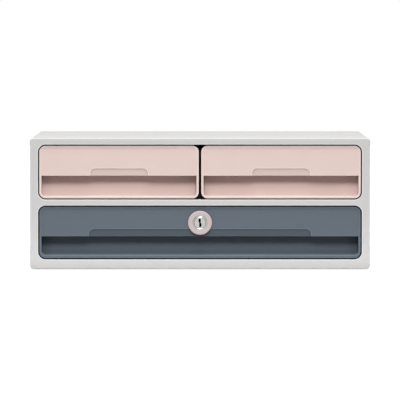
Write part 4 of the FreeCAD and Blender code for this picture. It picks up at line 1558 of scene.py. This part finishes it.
    def build(self, finishes: Finishes) -> None:
        """Build and dress the lock.

        Args:
            finishes: The unit's finishes.
        """
        pieces = (
            (self.ring, "lock_escutcheon", "wide_drawer", Finish.RING_PLASTIC),
            (self.barrel, "lock_barrel", "wide_drawer", Finish.LOCK_METAL),
            (self.nut, "lock_nut", "wide_drawer", Finish.SCREW_STEEL),
            (self.plug, "lock_plug", "lock_core", Finish.LOCK_METAL),
            (self.cam, "lock_cam", "lock_core", Finish.SCREW_STEEL),
            (self.screw, "lock_cam_screw", "lock_core", Finish.SCREW_STEEL),
        )
        for make, node, body, finish in pieces:
            stand_for(make(), node, body, finish, finishes)


# The studio

def aimed(name: str, data: bpy.types.ID, place: Place, target: Place) -> bpy.types.Object:
    """Put a lamp or a camera in the scene and aim it.

    Args:
        name: Its name.
        data: The lamp or the camera.
        place: Where it is.
        target: What it is aimed at.

    Returns:
        The new object.
    """
    made = bpy.data.objects.new(name, data)
    made.location = place
    aim = Vector(target) - Vector(place)
    made.rotation_euler = aim.to_track_quat("-Z", "Y").to_euler()
    bpy.context.scene.collection.objects.link(made)
    return made


@dataclass(frozen=True)
class Lamp:
    """One soft area lamp, aimed at the unit."""

    name: str
    place: Place
    size: float
    power: float
    target: Place = (0.0, 0.0, 0.07)

    def hang(self) -> None:
        """Put the lamp in the scene."""
        data = bpy.data.lights.new(self.name, "AREA")
        data.shape = "DISK"
        data.size = self.size
        data.energy = self.power
        aimed(self.name, data, self.place, self.target)


@dataclass
class Studio:
    """A white sweep, soft lamps and the camera."""

    lamps: tuple[Lamp, ...] = (
        Lamp("overhead_lamp", (0.0, -0.99, 1.92), 1.1, 30.0),
        Lamp("left_lamp", (-1.9, 1.1, 0.7), 0.8, 10.0),
        Lamp("right_lamp", (1.9, 1.1, 0.7), 0.8, 10.0),
        Lamp("front_lamp", (0.0, -2.17, 1.68), 1.0, 46.0),
    )
    floor_reach: float = 4.0
    floor_parts: int = 8
    floor_near: Colour = (0.7, 0.7, 0.7)
    floor_far: Colour = (0.06, 0.06, 0.06)
    floor_patches: float = 6.0
    floor_roughness: Point = (0.86, 0.9)
    floor_glow: float = 1.45
    glow_share: float = 0.6
    bright_margin: float = 0.08
    world_strength: float = 0.012
    eye: Place = (0.0, -4.371, 0.262)
    look_at: Place = (0.0, -0.131, 0.073)
    lens: float = 369.0
    sensor: float = 36.0
    far_clip: float = 50.0

    def floor(self) -> None:
        """Lay a plain pale floor that shows white to the camera and keeps the shadow."""
        mesh = bmesh.new()
        parts = self.floor_parts
        bmesh.ops.create_grid(mesh, x_segments=parts, y_segments=parts, size=self.floor_reach)
        floor = as_object("studio_floor", mesh)
        nodes = Nodes(bpy.data.materials.new("studio_floor"))
        roughness = nodes.patches(self.floor_patches, 2.0, *self.floor_roughness)
        away = self.beside_unit(nodes)
        fade = nodes.spread(away, self.bright_margin, 1.5 * self.bright_margin)
        nodes.feed({
            "Base Color": nodes.blend(fade, self.floor_near, self.floor_far), "Roughness": roughness,
        })
        share = nodes.spread(away, self.bright_margin, 3 * self.bright_margin, self.glow_share, 1.0)
        glow = nodes.add("Emission", {"Strength": self.floor_glow})
        nodes.cover(nodes.combine(Operation.MULTIPLY, share, nodes.seen_rays()), glow)
        floor.data.materials.append(nodes.owner)

    def beside_unit(self, nodes: Nodes) -> Socket:
        """Return how far a place on the floor lies outside the unit's footprint.

        Args:
            nodes: The floor's shader nodes.

        Returns:
            The distance, negative under the unit.
        """
        parts = nodes.add("SeparateXYZ", {0: nodes.place}).outputs
        sides = (("X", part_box("front_frame")[1].x), ("Y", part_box("back_panel")[1].y))
        outside = []
        for axis, half in sides:
            off_middle = nodes.combine(Operation.ABSOLUTE, parts[axis], 0.0)
            outside.append(nodes.combine(Operation.SUBTRACT, off_middle, half))
        return nodes.combine(Operation.MAXIMUM, *outside)

    def world(self) -> None:
        """Surround the unit with even light that the camera sees as white."""
        nodes = Nodes(bpy.data.worlds.new("studio"))
        nodes.feed({"Color": WHITE, "Strength": self.world_strength})
        nodes.cover(nodes.seen_rays(), nodes.add("Background", {"Color": WHITE}))
        bpy.context.scene.world = nodes.owner

    def camera(self) -> None:
        """Set the camera at its distance in front, slightly above the unit."""
        data = bpy.data.cameras.new("camera")
        data.lens = self.lens
        data.sensor_width = self.sensor
        data.clip_end = self.far_clip
        bpy.context.scene.camera = aimed("camera", data, self.eye, self.look_at)

    def build(self) -> None:
        """Set up the floor, the light and the camera."""
        bpy.context.scene.view_settings.view_transform = "Standard"
        self.floor()
        self.world()
        for lamp in self.lamps:
            lamp.hang()
        self.camera()


def main() -> None:
    """Build the unit and its studio in order."""
    logging.basicConfig(level=logging.INFO, format="%(name)s: %(message)s")
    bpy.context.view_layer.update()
    lock = CamLock()
    finishes = Finishes(Vector((lock.centre[0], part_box("lock_plug")[0].y, lock.centre[1])))
    Case().build(finishes)
    for name in ("left", "right"):
        SmallDrawer(name).build(finishes)
    LockedDrawer("wide").build(finishes)
    lock.build(finishes)
    Studio().build()


if __name__ == "__main__":
    main()
